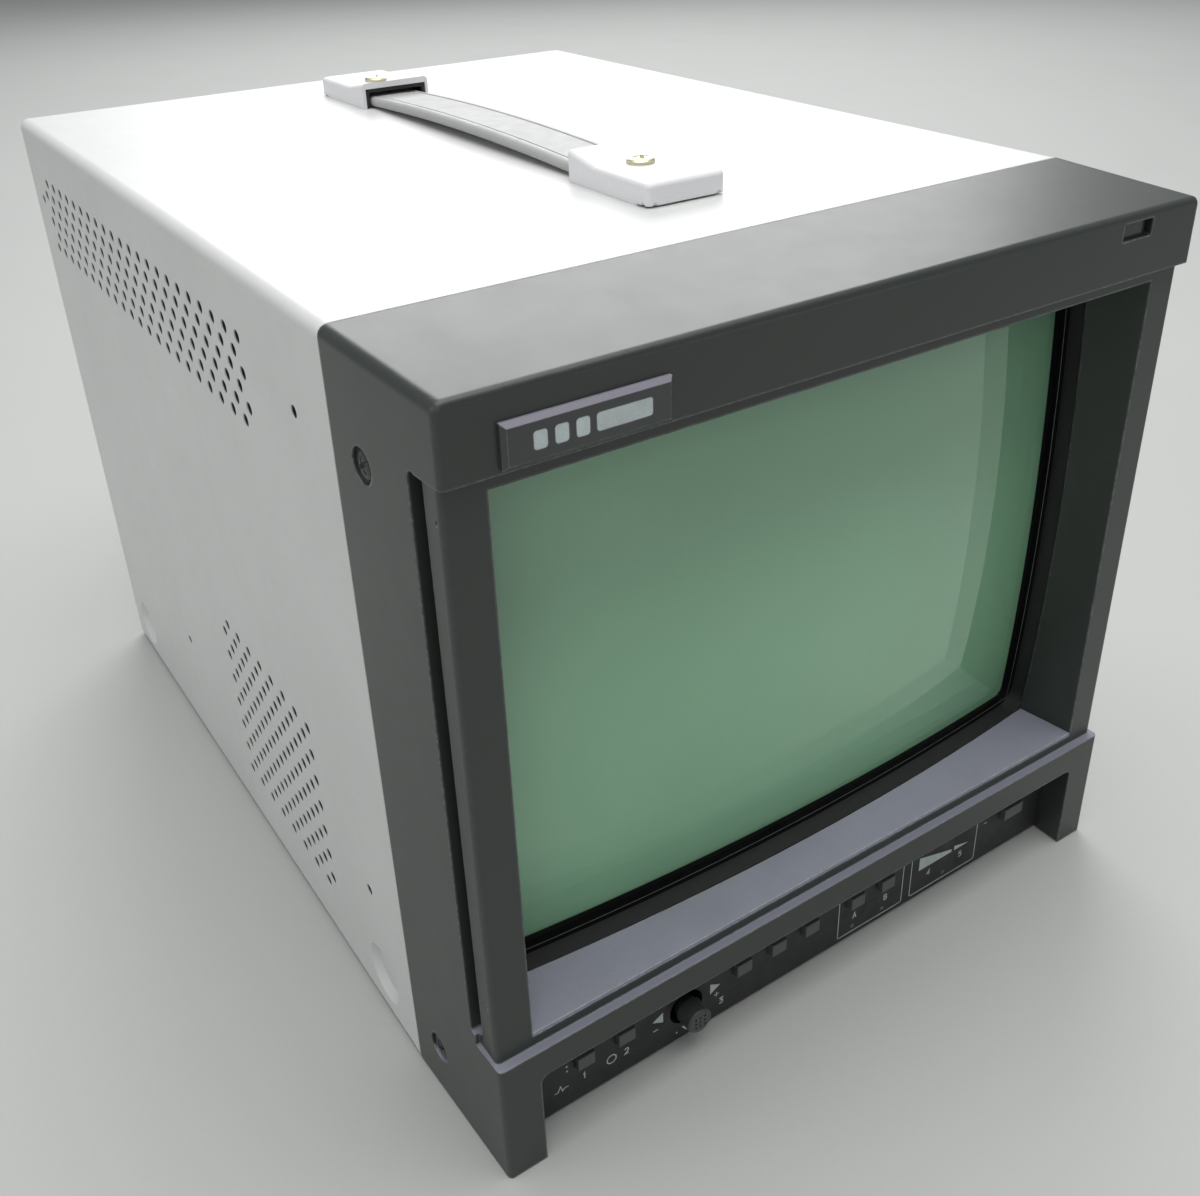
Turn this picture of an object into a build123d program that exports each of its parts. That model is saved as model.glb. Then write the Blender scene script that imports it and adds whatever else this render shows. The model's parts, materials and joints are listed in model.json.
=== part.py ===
from build123d import *
import os

# Portable video monitor: cathode ray tube in a steel cabinet with a moulded front frame.
# Millimetres. +Z up, +Y from the front to the back, +X to the viewer's right.
# The origin is on the table, under the middle of the monitor.

# ---------------------------------------------------------------- driving dimensions
WIDTH = 220.0            # across the cabinet
BODY_HEIGHT = 209.5      # cabinet, underside to top
BODY_DEPTH = 305.9       # front face of the header to the back edge of the cover
BEZEL_DEPTH = 45.25      # front frame
BADGE_PROUD = 1.8        # badge in front of the header
FOOT_HEIGHT = 1.2        # rubber pads under the cabinet
SHEET = 1.2              # steel sheet
SEAM = 0.15              # gap between the front frame and the cover

DRAFT_SIDE = 1.83        # front frame: each side is narrower at the front by this
DRAFT_TOP = 1.7          # and the top is lower
LEG_DROP = 0.9           # and the legs reach lower than the cabinet

# front frame, heights above the cabinet's underside and depths behind the header's face
HEADER_BOTTOM = 190.7
PILLAR_SETBACK = 2.5
PILLAR_HALF_WIDTH = 107.4
LIP_TOP = 37.8
LINTEL_BOTTOM = 28.9
ARCH_HALF_WIDTH = 97.3
HOOD_SLOT_DEPTH = 10.85
HOOD_SLOT_WIDTH = 3.7
HOOD_SLOT_LOW = 41.0
HOOD_SLOT_HIGH = 191.0
FRAME_WALL = 3.0
PANEL_DEPTH = 9.0        # face of the control panel
PANEL_THICKNESS = 2.0

# screen opening, front and back
OPENING_FRONT_HALF = 97.7
OPENING_FRONT_LOW = 41.6
OPENING_FRONT_HIGH = 187.2
OPENING_BACK_HALF = 93.2
OPENING_BACK_LOW = 43.1
OPENING_BACK_HIGH = 185.7
OPENING_BACK_DEPTH = 21.0
APRON_THICKNESS = 0.8

# cathode ray tube
TUBE_HEIGHT = 115.4      # axis above the cabinet's underside
FACE_RADIUS = 930.0      # curvature of the glass and of the mask edges in front of it
MASK_DEPTH = 11.6        # the mask edges lie on a sphere that starts here
GLASS_DEPTH = 17.0       # front of the glass on the axis
GLASS_WIDTH = 206.0
GLASS_HEIGHT = 164.0
GLASS_CORNER = 24.0
GLASS_THICKNESS = 9.5
PANEL_SKIRT = 52.0       # depth of the seal between the faceplate and the funnel
PICTURE_WIDTH = 186.0
PICTURE_HEIGHT = 142.0
NECK_RADIUS = 14.55
NECK_START = 142.0
NECK_END = 258.0
EAR_X = 102.0
EAR_Z = 80.5

# controls: positions across the panel and up it
BUTTON_HEIGHT = 15.1
BUTTON_WIDTH = 5.2
BUTTON_TALL = 4.2
BUTTON_GAP = 0.25
BUTTON_TRAVEL = 1.2
BUTTON_FACE_DEPTH = 7.0
POWER_WIDTH = 8.2
BUTTON_X = {
    "phase_button": -80.2,
    "bright_button": -67.5,
    "left_function_button": -28.0,
    "middle_function_button": -15.5,
    "right_function_button": -3.1,
    "input_a_button": 14.7,
    "input_b_button": 26.9,
    "power_button": 81.8,
}
JOYSTICK_X = -46.9
JOYSTICK_HEIGHT = 11.0
JOYSTICK_PIVOT = 17.0
LED_X = (14.7, 26.9, 53.0)
LED_HEIGHT = 4.0

# carrying handle on the top
HANDLE_X = 1.5
CAP_WIDTH = 24.5
CAP_LENGTH = 36.5
CAP_HEIGHT = 6.2         # lid over the cover, at the closed end and round the screw
MOUTH_HEIGHT = 8.4       # and at the mouth, where the lid is bent up
MOUTH_LIP = 2.0          # the lid's edge is folded down at the mouth
FRONT_CAP_START = 73.0
REAR_CAP_END = 277.0
CAP_SCREW = 20.5         # from a cap's closed end to its screw
STRAP_WIDTH = 19.0
STRAP_THICKNESS = 3.4
STRAP_RISE = 1.8

FRONT_Y = BADGE_PROUD - (BODY_DEPTH + BADGE_PROUD) / 2
HALF = WIDTH / 2
REAR_INSET = 12.0
HANDLE_SCREWS = (FRONT_CAP_START + CAP_SCREW, REAR_CAP_END - CAP_SCREW)

os.makedirs("parts", exist_ok=True)


# ---------------------------------------------------------------- helpers
def back(depth):
    """Y of a point this far behind the header's face."""
    return FRONT_Y + depth


def up(height):
    """Z of a point this far above the cabinet's underside."""
    return FOOT_HEIGHT + height


def upright(depth):
    """Upright plane across the monitor. Local x is X, local y is Z, the normal faces the front."""
    return Plane.XZ.offset(-back(depth))


def level(height):
    """Level plane above the cabinet's underside."""
    return Plane.XY.offset(up(height))


def side_plane(side, inset=0.0):
    """Plane on the left (-1) or right (1) cabinet wall with its normal inwards and local y up."""
    return Plane(origin=(side * (HALF - inset), 0, 0), x_dir=(0, -side, 0), z_dir=(-side, 0, 0))


def side_point(side, depth, height):
    """A point of side_plane by its depth and height."""
    return (-side * back(depth), up(height))


def save(builder, name):
    """Label a finished piece and write it."""
    builder.part.label = name
    export_step(builder.part, f"parts/{name}.step")


def face_ball(depth):
    """Solid ball whose front pole is on the tube's axis at this depth."""
    centre = Location((0, back(depth) + FACE_RADIUS, up(TUBE_HEIGHT)))
    return centre * Sphere(FACE_RADIUS, mode=Mode.PRIVATE)


# ---------------------------------------------------------------- cabinet cover
VENT_RADIUS = 1.75
UPPER_VENTS = {"depth": 98.4, "height": 191.6, "pitch": 8.8, "row": 4.54, "rows": 6, "count": 22}
SPEAKER_VENTS = {"depth": 97.1, "height": 79.1, "pitch": 9.12, "row": 4.554, "rows": 14, "count": 8}
SIDE_HOLE_RADIUS = 1.6
SIDE_HOLES = [(66.3, 183.9), (66.3, 44.4), (217.8, 43.0), (294.3, 184.4)]
DIMPLES = [(64.7, 14.0), (288.0, 13.0)]
DIMPLE_RADIUS = 9.0
DIMPLE_DEPTH = 2.0
DIMPLE_SLOPE = 55.0
COVER_FLANGE = 16.0
COVER_BEND = 3.0
COVER_SCREW_X = 97.5
COVER_SCREW_DEPTHS = (100.0, 175.0, 250.0)
COVER_START = BEZEL_DEPTH + SEAM


def vent_centres(side, grid):
    """Centres of a staggered block of round vents on one side wall."""
    centres = []
    for row in range(grid["rows"]):
        stagger = grid["pitch"] / 2 if row % 2 else 0.0
        for column in range(grid["count"]):
            depth = grid["depth"] + stagger + column * grid["pitch"]
            centres.append(side_point(side, depth, grid["height"] - row * grid["row"]))
    return centres


with BuildPart() as cabinet_cover:
    with BuildSketch(upright(COVER_START)):
        with Locations((0, up(BODY_HEIGHT / 2))):
            Rectangle(WIDTH, BODY_HEIGHT)
        fillet(vertices().group_by(Axis.Y)[-1], radius=COVER_BEND)
        fillet(vertices().group_by(Axis.Y)[0], radius=1.0)
        with BuildSketch(mode=Mode.PRIVATE) as hollow:
            with Locations((0, up(BODY_HEIGHT / 2))):
                Rectangle(WIDTH - 2 * SHEET, BODY_HEIGHT - 2 * SHEET)
            fillet(hollow.vertices().group_by(Axis.Y)[-1], radius=COVER_BEND - SHEET)
        add(hollow.sketch, mode=Mode.SUBTRACT)
        with Locations((0, up(SHEET / 2))):
            Rectangle(WIDTH - 2 * COVER_FLANGE, 2 * SHEET, mode=Mode.SUBTRACT)
    extrude(amount=-(BODY_DEPTH - COVER_START))
    with BuildSketch(side_plane(-1)):
        with Locations(vent_centres(-1, UPPER_VENTS)):
            Circle(VENT_RADIUS)
    extrude(amount=WIDTH, mode=Mode.SUBTRACT)
    with BuildSketch(side_plane(-1)):
        with Locations(vent_centres(-1, SPEAKER_VENTS)):
            Circle(VENT_RADIUS)
    extrude(amount=2 * SHEET, mode=Mode.SUBTRACT)
    for side in (-1, 1):
        with BuildSketch(side_plane(side)):
            with Locations([side_point(side, depth, height) for depth, height in SIDE_HOLES]):
                Circle(SIDE_HOLE_RADIUS)
        extrude(amount=2 * SHEET, mode=Mode.SUBTRACT)
        with BuildSketch(side_plane(side, SHEET)):
            with Locations([side_point(side, depth, height) for depth, height in DIMPLES]):
                Circle(DIMPLE_RADIUS)
        extrude(amount=DIMPLE_DEPTH, taper=DIMPLE_SLOPE)
        with BuildSketch(side_plane(side)):
            with Locations([side_point(side, depth, height) for depth, height in DIMPLES]):
                Circle(DIMPLE_RADIUS)
        extrude(amount=DIMPLE_DEPTH, taper=DIMPLE_SLOPE, mode=Mode.SUBTRACT)
        for depth in COVER_SCREW_DEPTHS:
            with Locations((side * COVER_SCREW_X, back(depth), up(0))):
                Cone(2.9, 1.6, SHEET, align=(Align.CENTER, Align.CENTER, Align.MIN), mode=Mode.SUBTRACT)
    for depth in HANDLE_SCREWS:
        with Locations((HANDLE_X, back(depth), up(BODY_HEIGHT))):
            Cylinder(2.1, 4 * SHEET, mode=Mode.SUBTRACT)
save(cabinet_cover, "cabinet_cover")


# ---------------------------------------------------------------- front bezel
BEZEL_SCREW_DEPTH = 32.3
BEZEL_SCREW_HEIGHTS = (16.0, 184.0)
COUNTERBORE_RADIUS = 4.1
COUNTERBORE_DEPTH = 1.7
BEZEL_INSIDE_HALF = 106.8
SHELF_LOW = 36.5
SHELF_HIGH = 38.8
SHELF_END = 19.0         # the shelf under the screen stops in front of the glass
LEG_SOLID_DEPTH = 12.0
BOSS_END = 30.0
TALLY_X = 84.3
TALLY_HEIGHT = 203.3
TALLY_WIDTH = 11.2
TALLY_TALL = 4.4
TALLY_SLOT = 1.3         # open slot beside the lens
EDGE_RADIUS = 1.4

with BuildPart() as bezel_cavity:
    with BuildSketch(upright(5.0)):
        with Locations((0, up((SHELF_HIGH + BODY_HEIGHT - 4.5) / 2))):
            Rectangle(2 * BEZEL_INSIDE_HALF, BODY_HEIGHT - 4.5 - SHELF_HIGH)
    extrude(amount=-BEZEL_DEPTH)
    add(face_ball(MASK_DEPTH), mode=Mode.INTERSECT)
    with BuildSketch(upright(LEG_SOLID_DEPTH)):
        with Locations((0, up((SHELF_LOW - 4.0) / 2))):
            Rectangle(2 * BEZEL_INSIDE_HALF, SHELF_LOW + 4.0)
    extrude(amount=-BEZEL_DEPTH)
    with BuildSketch(upright(4.0)):
        with Locations((0, up((SHELF_LOW - 4.0) / 2))):
            Rectangle(2 * ARCH_HALF_WIDTH, SHELF_LOW + 4.0)
    extrude(amount=-BEZEL_DEPTH)
    with BuildSketch(upright(SHELF_END)):
        with Locations((0, up((SHELF_LOW + SHELF_HIGH) / 2))):
            Rectangle(2 * BEZEL_INSIDE_HALF, SHELF_HIGH - SHELF_LOW + 2.0)
    extrude(amount=-BEZEL_DEPTH)

with BuildPart() as screen_opening:
    with BuildSketch(upright(PILLAR_SETBACK - 1.0)):
        with Locations((0, up((OPENING_FRONT_LOW - APRON_THICKNESS + OPENING_FRONT_HIGH) / 2))):
            Rectangle(2 * OPENING_FRONT_HALF, OPENING_FRONT_HIGH - OPENING_FRONT_LOW + APRON_THICKNESS)
    with BuildSketch(upright(OPENING_BACK_DEPTH)):
        with Locations((0, up((OPENING_BACK_LOW - APRON_THICKNESS + OPENING_BACK_HIGH) / 2))):
            Rectangle(2 * OPENING_BACK_HALF, OPENING_BACK_HIGH - OPENING_BACK_LOW + APRON_THICKNESS)
    loft()

with BuildPart() as front_bezel:
    with BuildSketch(upright(0)):
        with Locations((0, up((BODY_HEIGHT - DRAFT_TOP - LEG_DROP) / 2))):
            Rectangle(WIDTH - 2 * DRAFT_SIDE, BODY_HEIGHT - DRAFT_TOP + LEG_DROP)
    with BuildSketch(upright(BEZEL_DEPTH)):
        with Locations((0, up(BODY_HEIGHT / 2))):
            Rectangle(WIDTH, BODY_HEIGHT)
    loft()
    long_top_edges = edges().filter_by(lambda e: abs(e.center().X) > HALF - 3 and e.center().Z > up(200))
    fillet(long_top_edges, radius=2.4)
    fillet(faces().sort_by(Axis.Y)[0].edges().sort_by(Axis.Z)[1:], radius=EDGE_RADIUS)
    # pillars stand back from the header and from the lower lip, on the front and on the sides
    with BuildSketch(upright(-1.0)):
        with Locations((0, up((LIP_TOP + HEADER_BOTTOM) / 2))):
            Rectangle(1.2 * WIDTH, HEADER_BOTTOM - LIP_TOP)
    extrude(amount=-(PILLAR_SETBACK + 1.0), mode=Mode.SUBTRACT)
    with BuildSketch(level(LIP_TOP)):
        for side in (-1, 1):
            with Locations((side * (PILLAR_HALF_WIDTH + 5), back(HOOD_SLOT_DEPTH / 2))):
                Rectangle(10, HOOD_SLOT_DEPTH)
    extrude(amount=HEADER_BOTTOM - LIP_TOP, mode=Mode.SUBTRACT)
    pillar_edges = edges().filter_by(Axis.Z).filter_by(
        lambda e: abs(abs(e.center().X) - PILLAR_HALF_WIDTH) < 0.01
        and abs(e.center().Y - back(PILLAR_SETBACK)) < 0.01
    )
    fillet(pillar_edges, radius=EDGE_RADIUS)
    # slots that take a light hood
    for side in (-1, 1):
        with BuildSketch(side_plane(side)):
            with Locations(side_point(side, HOOD_SLOT_DEPTH, (HOOD_SLOT_LOW + HOOD_SLOT_HIGH) / 2)):
                SlotOverall(HOOD_SLOT_HIGH - HOOD_SLOT_LOW, HOOD_SLOT_WIDTH, rotation=90)
        extrude(amount=6.5, mode=Mode.SUBTRACT)
        with BuildSketch(side_plane(side)):
            with Locations(side_point(side, 4.8, 182.4), side_point(side, 5.0, 55.0)):
                Circle(0.5)
        extrude(amount=4.0, mode=Mode.SUBTRACT)
    add(screen_opening.part, mode=Mode.SUBTRACT)
    add(bezel_cavity.part, mode=Mode.SUBTRACT)
    # arch over the control panel, open at the bottom
    with BuildSketch(upright(-1.0)):
        with Locations((0, up((LINTEL_BOTTOM - 4.0) / 2))):
            Rectangle(2 * ARCH_HALF_WIDTH, LINTEL_BOTTOM + 4.0)
        fillet(vertices().group_by(Axis.Y)[-1], radius=2.5)
    extrude(amount=-6.0, mode=Mode.SUBTRACT)
    # bosses that hold the tube
    with BuildSketch(upright(9.0)):
        with Locations((0, up(TUBE_HEIGHT))):
            with GridLocations(2 * EAR_X, 2 * EAR_Z, 2, 2):
                Circle(4.0)
    extrude(amount=-(BOSS_END - 9.0))
    with BuildSketch(upright(BOSS_END)):
        with Locations((0, up(TUBE_HEIGHT))):
            with GridLocations(2 * EAR_X, 2 * EAR_Z, 2, 2):
                Circle(2.05)
    extrude(amount=14.0, mode=Mode.SUBTRACT)
    # counterbored screws that hold the bezel to its brackets
    for side in (-1, 1):
        places = [side_point(side, BEZEL_SCREW_DEPTH, height) for height in BEZEL_SCREW_HEIGHTS]
        with BuildSketch(side_plane(side)):
            with Locations(places):
                Circle(COUNTERBORE_RADIUS)
        extrude(amount=COUNTERBORE_DEPTH, mode=Mode.SUBTRACT)
        with BuildSketch(side_plane(side)):
            with Locations(places):
                Circle(2.2)
        extrude(amount=6.0, mode=Mode.SUBTRACT)
    # window for the tally lamp
    with BuildSketch(upright(-1.0)):
        with Locations((TALLY_X, up(TALLY_HEIGHT))):
            RectangleRounded(TALLY_WIDTH, TALLY_TALL, 0.4)
    extrude(amount=-3.4, mode=Mode.SUBTRACT)
    with BuildSketch(upright(0)):
        with Locations((TALLY_X + (TALLY_WIDTH - TALLY_SLOT) / 2, up(TALLY_HEIGHT))):
            Rectangle(TALLY_SLOT, TALLY_TALL - 0.2)
    extrude(amount=-25.0, mode=Mode.SUBTRACT)
save(front_bezel, "front_bezel")


# ---------------------------------------------------------------- trim on the bezel
with BuildPart() as screen_apron:
    apron_slope = (OPENING_BACK_LOW - OPENING_FRONT_LOW) / (OPENING_BACK_DEPTH - PILLAR_SETBACK + 1.0)
    floor_front = OPENING_FRONT_LOW - APRON_THICKNESS + apron_slope * 1.2
    floor_back = OPENING_BACK_LOW - APRON_THICKNESS
    with BuildSketch(Plane.YZ):
        with BuildLine():
            Polyline(
                (back(PILLAR_SETBACK + 0.2), up(floor_front)),
                (back(OPENING_BACK_DEPTH), up(floor_back)),
                (back(OPENING_BACK_DEPTH), up(floor_back + APRON_THICKNESS)),
                (back(PILLAR_SETBACK + 0.2), up(floor_front + APRON_THICKNESS)),
                close=True,
            )
        make_face()
    extrude(amount=HALF, both=True)
    add(screen_opening.part, mode=Mode.INTERSECT)
    add(face_ball(MASK_DEPTH - 0.2), mode=Mode.SUBTRACT)
save(screen_apron, "screen_apron")

BADGE_X = -76.9
BADGE_HEIGHT = 196.4
BADGE_WIDTH = 38.0
BADGE_TALL = 9.4
BADGE_POCKETS = [(-11.2, 3.0), (-6.6, 3.0), (-2.0, 3.0), (7.4, 12.8)]
POCKET_TALL = 3.8
POCKET_DEPTH = 0.25

with BuildPart() as name_badge:
    for start, taper in ((0, 0), (-BADGE_PROUD / 2, 45)):
        with BuildSketch(upright(start)):
            with Locations((BADGE_X, up(BADGE_HEIGHT))):
                Rectangle(BADGE_WIDTH, BADGE_TALL)
        extrude(amount=BADGE_PROUD / 2, taper=taper)
    # shallow pockets for a pale inlay
    with BuildSketch(upright(-BADGE_PROUD)):
        for shift, width in BADGE_POCKETS:
            with Locations((BADGE_X + shift, up(BADGE_HEIGHT))):
                RectangleRounded(width, POCKET_TALL, 0.7)
    extrude(amount=-POCKET_DEPTH, mode=Mode.SUBTRACT)
save(name_badge, "name_badge")

with BuildPart() as tally_window:
    with BuildSketch(upright(1.5)):
        with Locations((TALLY_X - TALLY_SLOT / 2, up(TALLY_HEIGHT))):
            RectangleRounded(TALLY_WIDTH - TALLY_SLOT - 0.1, TALLY_TALL - 0.1, 0.35)
    extrude(amount=-0.85)
save(tally_window, "tally_window")


# ---------------------------------------------------------------- controls
SWITCH_FRONT = 15.3
BOARD_FRONT = 18.8
BOARD_THICKNESS = 1.6
PANEL_TOP = 36.0
JOYSTICK_HOUSING_HALF = 8.0
RING_HALF = 5.4
RING_HOLE_HALF = 3.7
GIMBAL_PIN = 0.9
GIMBAL_BORE = 0.95


def button_size(name):
    """Width of one button's face."""
    return POWER_WIDTH if name == "power_button" else BUTTON_WIDTH


with BuildPart() as control_panel:
    with BuildSketch(upright(PANEL_DEPTH)):
        with Locations((0, up((0.3 + PANEL_TOP) / 2))):
            Rectangle(2 * ARCH_HALF_WIDTH - 0.4, PANEL_TOP - 0.3)
        for name, x in BUTTON_X.items():
            with Locations((x, up(BUTTON_HEIGHT))):
                Rectangle(
                    button_size(name) + 2 * BUTTON_GAP, BUTTON_TALL + 2 * BUTTON_GAP, mode=Mode.SUBTRACT
                )
        with Locations((JOYSTICK_X, up(JOYSTICK_HEIGHT))):
            Circle(5.5, mode=Mode.SUBTRACT)
        with Locations([(x, up(LED_HEIGHT)) for x in LED_X]):
            Circle(0.8, mode=Mode.SUBTRACT)
    extrude(amount=-PANEL_THICKNESS)
save(control_panel, "control_panel")


def make_button(name, x):
    """Push button with a flange that stops it behind the panel and a stem that meets its switch."""
    width = button_size(name)
    with BuildPart() as button:
        with BuildSketch(upright(BUTTON_FACE_DEPTH)):
            with Locations((x, up(BUTTON_HEIGHT))):
                Rectangle(width, BUTTON_TALL)
        extrude(amount=-(PANEL_DEPTH + PANEL_THICKNESS + 0.4 - BUTTON_FACE_DEPTH))
        fillet(faces().sort_by(Axis.Y)[0].edges(), radius=0.3)
        with BuildSketch(upright(PANEL_DEPTH + PANEL_THICKNESS + 0.05)):
            with Locations((x, up(BUTTON_HEIGHT))):
                Rectangle(width + 1.8, BUTTON_TALL + 1.8)
        extrude(amount=-1.0)
        with BuildSketch(upright(PANEL_DEPTH + PANEL_THICKNESS + 1.0)):
            with Locations((x, up(BUTTON_HEIGHT))):
                Circle(1.6)
        extrude(amount=-(SWITCH_FRONT - 0.3 - BUTTON_TRAVEL - PANEL_DEPTH - PANEL_THICKNESS - 1.0))
    save(button, name)


for button_name, button_x in BUTTON_X.items():
    make_button(button_name, button_x)

with BuildPart() as control_board:
    with BuildSketch(upright(BOARD_FRONT)):
        with Locations((0, up(18.0))):
            Rectangle(186.0, 30.0)
        with Locations((JOYSTICK_X, up(JOYSTICK_HEIGHT))):
            Rectangle(2 * JOYSTICK_HOUSING_HALF + 0.4, 2 * JOYSTICK_HOUSING_HALF + 0.4, mode=Mode.SUBTRACT)
    extrude(amount=-BOARD_THICKNESS)
save(control_board, "control_board")

with BuildPart() as tact_switches:
    with BuildSketch(upright(SWITCH_FRONT + 0.5)):
        with Locations([(x, up(BUTTON_HEIGHT)) for x in BUTTON_X.values()]):
            Rectangle(6.0, 6.0)
    extrude(amount=-(BOARD_FRONT - SWITCH_FRONT - 0.5))
    with BuildSketch(upright(SWITCH_FRONT)):
        with Locations([(x, up(BUTTON_HEIGHT)) for x in BUTTON_X.values()]):
            Circle(1.7)
    extrude(amount=-1.0)
save(tact_switches, "tact_switches")

with BuildPart() as indicator_leds:
    with BuildSketch(upright(PANEL_DEPTH - 0.1)):
        with Locations([(x, up(LED_HEIGHT)) for x in LED_X]):
            Circle(0.75)
    extrude(amount=-(BOARD_FRONT - PANEL_DEPTH + 0.1))
save(indicator_leds, "indicator_leds")

# the joystick tilts left and right in its gimbal ring's vertical pins, up and down on its own
with BuildPart() as joystick_housing:
    with BuildSketch(upright(PANEL_DEPTH + PANEL_THICKNESS + 0.05)):
        with Locations((JOYSTICK_X, up(JOYSTICK_HEIGHT))):
            Rectangle(2 * JOYSTICK_HOUSING_HALF, 2 * JOYSTICK_HOUSING_HALF)
    extrude(amount=-13.0)
    with BuildSketch(upright(PANEL_DEPTH + PANEL_THICKNESS + 0.05)):
        with Locations((JOYSTICK_X, up(JOYSTICK_HEIGHT))):
            Rectangle(2 * JOYSTICK_HOUSING_HALF - 3.0, 2 * JOYSTICK_HOUSING_HALF - 3.0)
    extrude(amount=-11.0, mode=Mode.SUBTRACT)
    with Locations((JOYSTICK_X, back(JOYSTICK_PIVOT), up(JOYSTICK_HEIGHT))):
        Cylinder(GIMBAL_BORE, 2 * JOYSTICK_HOUSING_HALF, mode=Mode.SUBTRACT)
save(joystick_housing, "joystick_housing")

with BuildPart() as joystick_gimbal:
    with BuildSketch(upright(JOYSTICK_PIVOT - 1.5)):
        with Locations((JOYSTICK_X, up(JOYSTICK_HEIGHT))):
            RectangleRounded(2 * RING_HALF, 2 * RING_HALF, 1.0)
            Rectangle(2 * RING_HOLE_HALF, 2 * RING_HOLE_HALF, mode=Mode.SUBTRACT)
    extrude(amount=-3.0)
    with Locations((JOYSTICK_X, back(JOYSTICK_PIVOT), up(JOYSTICK_HEIGHT))):
        Cylinder(GIMBAL_BORE, 2 * RING_HALF + 1, rotation=(0, 90, 0), mode=Mode.SUBTRACT)
    for way in (-1, 1):
        pin_middle = JOYSTICK_HEIGHT + way * (RING_HOLE_HALF + JOYSTICK_HOUSING_HALF) / 2
        with Locations((JOYSTICK_X, back(JOYSTICK_PIVOT), up(pin_middle))):
            Cylinder(GIMBAL_PIN, JOYSTICK_HOUSING_HALF - RING_HOLE_HALF - 0.2)
save(joystick_gimbal, "joystick_gimbal")

CAP_FRONT = 2.6
CAP_BACK = 8.0
CAP_RADIUS = 3.9

with BuildPart() as joystick_lever:
    with Locations((JOYSTICK_X, back(JOYSTICK_PIVOT), up(JOYSTICK_HEIGHT))):
        Box(5.6, 4.0, 5.6)
        Cylinder(GIMBAL_PIN, 2 * RING_HALF - 0.2, rotation=(0, 90, 0))
    with BuildSketch(upright(CAP_FRONT + 1.6)):
        with Locations((JOYSTICK_X, up(JOYSTICK_HEIGHT))):
            Circle(1.8)
    extrude(amount=-(JOYSTICK_PIVOT - CAP_FRONT - 1.6))
    with BuildSketch(upright(CAP_BACK + 0.2)):
        with Locations((JOYSTICK_X, up(JOYSTICK_HEIGHT))):
            Circle(3.3)
    extrude(amount=-1.6)
save(joystick_lever, "joystick_lever")

with BuildPart() as joystick_cap:
    with BuildSketch(upright(CAP_FRONT)):
        with Locations((JOYSTICK_X, up(JOYSTICK_HEIGHT))):
            Circle(CAP_RADIUS)
    extrude(amount=-(CAP_BACK - CAP_FRONT))
    fillet(faces().sort_by(Axis.Y)[0].edges(), radius=0.8)
    with BuildSketch(upright(CAP_BACK)):
        with Locations((JOYSTICK_X, up(JOYSTICK_HEIGHT))):
            Circle(1.85)
    extrude(amount=CAP_BACK - CAP_FRONT - 1.55, mode=Mode.SUBTRACT)
    # shallow grips on the cap
    with BuildSketch(upright(CAP_FRONT)):
        with Locations((JOYSTICK_X, up(JOYSTICK_HEIGHT))):
            with GridLocations(1.5, 1.5, 3, 3):
                Circle(0.4)
    extrude(amount=-0.35, mode=Mode.SUBTRACT)
save(joystick_cap, "joystick_cap")


# ---------------------------------------------------------------- cathode ray tube
INNER_FACE_DEPTH = GLASS_DEPTH + GLASS_THICKNESS
PHOSPHOR_THICKNESS = 0.4
FUNNEL_START = PANEL_SKIRT + 0.05
FUNNEL_WALL = 4.0
FUNNEL_SECTIONS = [
    (FUNNEL_START, GLASS_WIDTH, GLASS_HEIGHT, GLASS_CORNER),
    (78.0, 182.0, 150.0, 40.0),
    (108.0, 126.0, 110.0, 50.0),
    (130.0, 68.0, 66.0, 32.0),
    (NECK_START, 44.0, 44.0, 21.5),
]
NECK_WALL = 1.6

with BuildPart() as faceplate_inside:
    with BuildSketch(upright(GLASS_DEPTH)):
        with Locations((0, up(TUBE_HEIGHT))):
            RectangleRounded(PICTURE_WIDTH + 4, PICTURE_HEIGHT + 4, 8.0)
    extrude(amount=-PANEL_SKIRT)
    add(face_ball(INNER_FACE_DEPTH), mode=Mode.INTERSECT)

with BuildPart() as crt_faceplate:
    with BuildSketch(upright(GLASS_DEPTH - 2)):
        with Locations((0, up(TUBE_HEIGHT))):
            RectangleRounded(GLASS_WIDTH, GLASS_HEIGHT, GLASS_CORNER)
    extrude(amount=-(PANEL_SKIRT - GLASS_DEPTH + 2))
    add(face_ball(GLASS_DEPTH), mode=Mode.INTERSECT)
    fillet(faces().sort_by(Axis.Y)[0].edges(), radius=4.0)
    add(faceplate_inside.part, mode=Mode.SUBTRACT)
save(crt_faceplate, "crt_faceplate")

with BuildPart() as phosphor_screen:
    with BuildSketch(upright(INNER_FACE_DEPTH - 1)):
        with Locations((0, up(TUBE_HEIGHT))):
            RectangleRounded(PICTURE_WIDTH, PICTURE_HEIGHT, 3.0)
    extrude(amount=-14.0)
    add(face_ball(INNER_FACE_DEPTH + 0.05), mode=Mode.INTERSECT)
    add(face_ball(INNER_FACE_DEPTH + 0.05 + PHOSPHOR_THICKNESS), mode=Mode.SUBTRACT)
save(phosphor_screen, "phosphor_screen")

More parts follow.
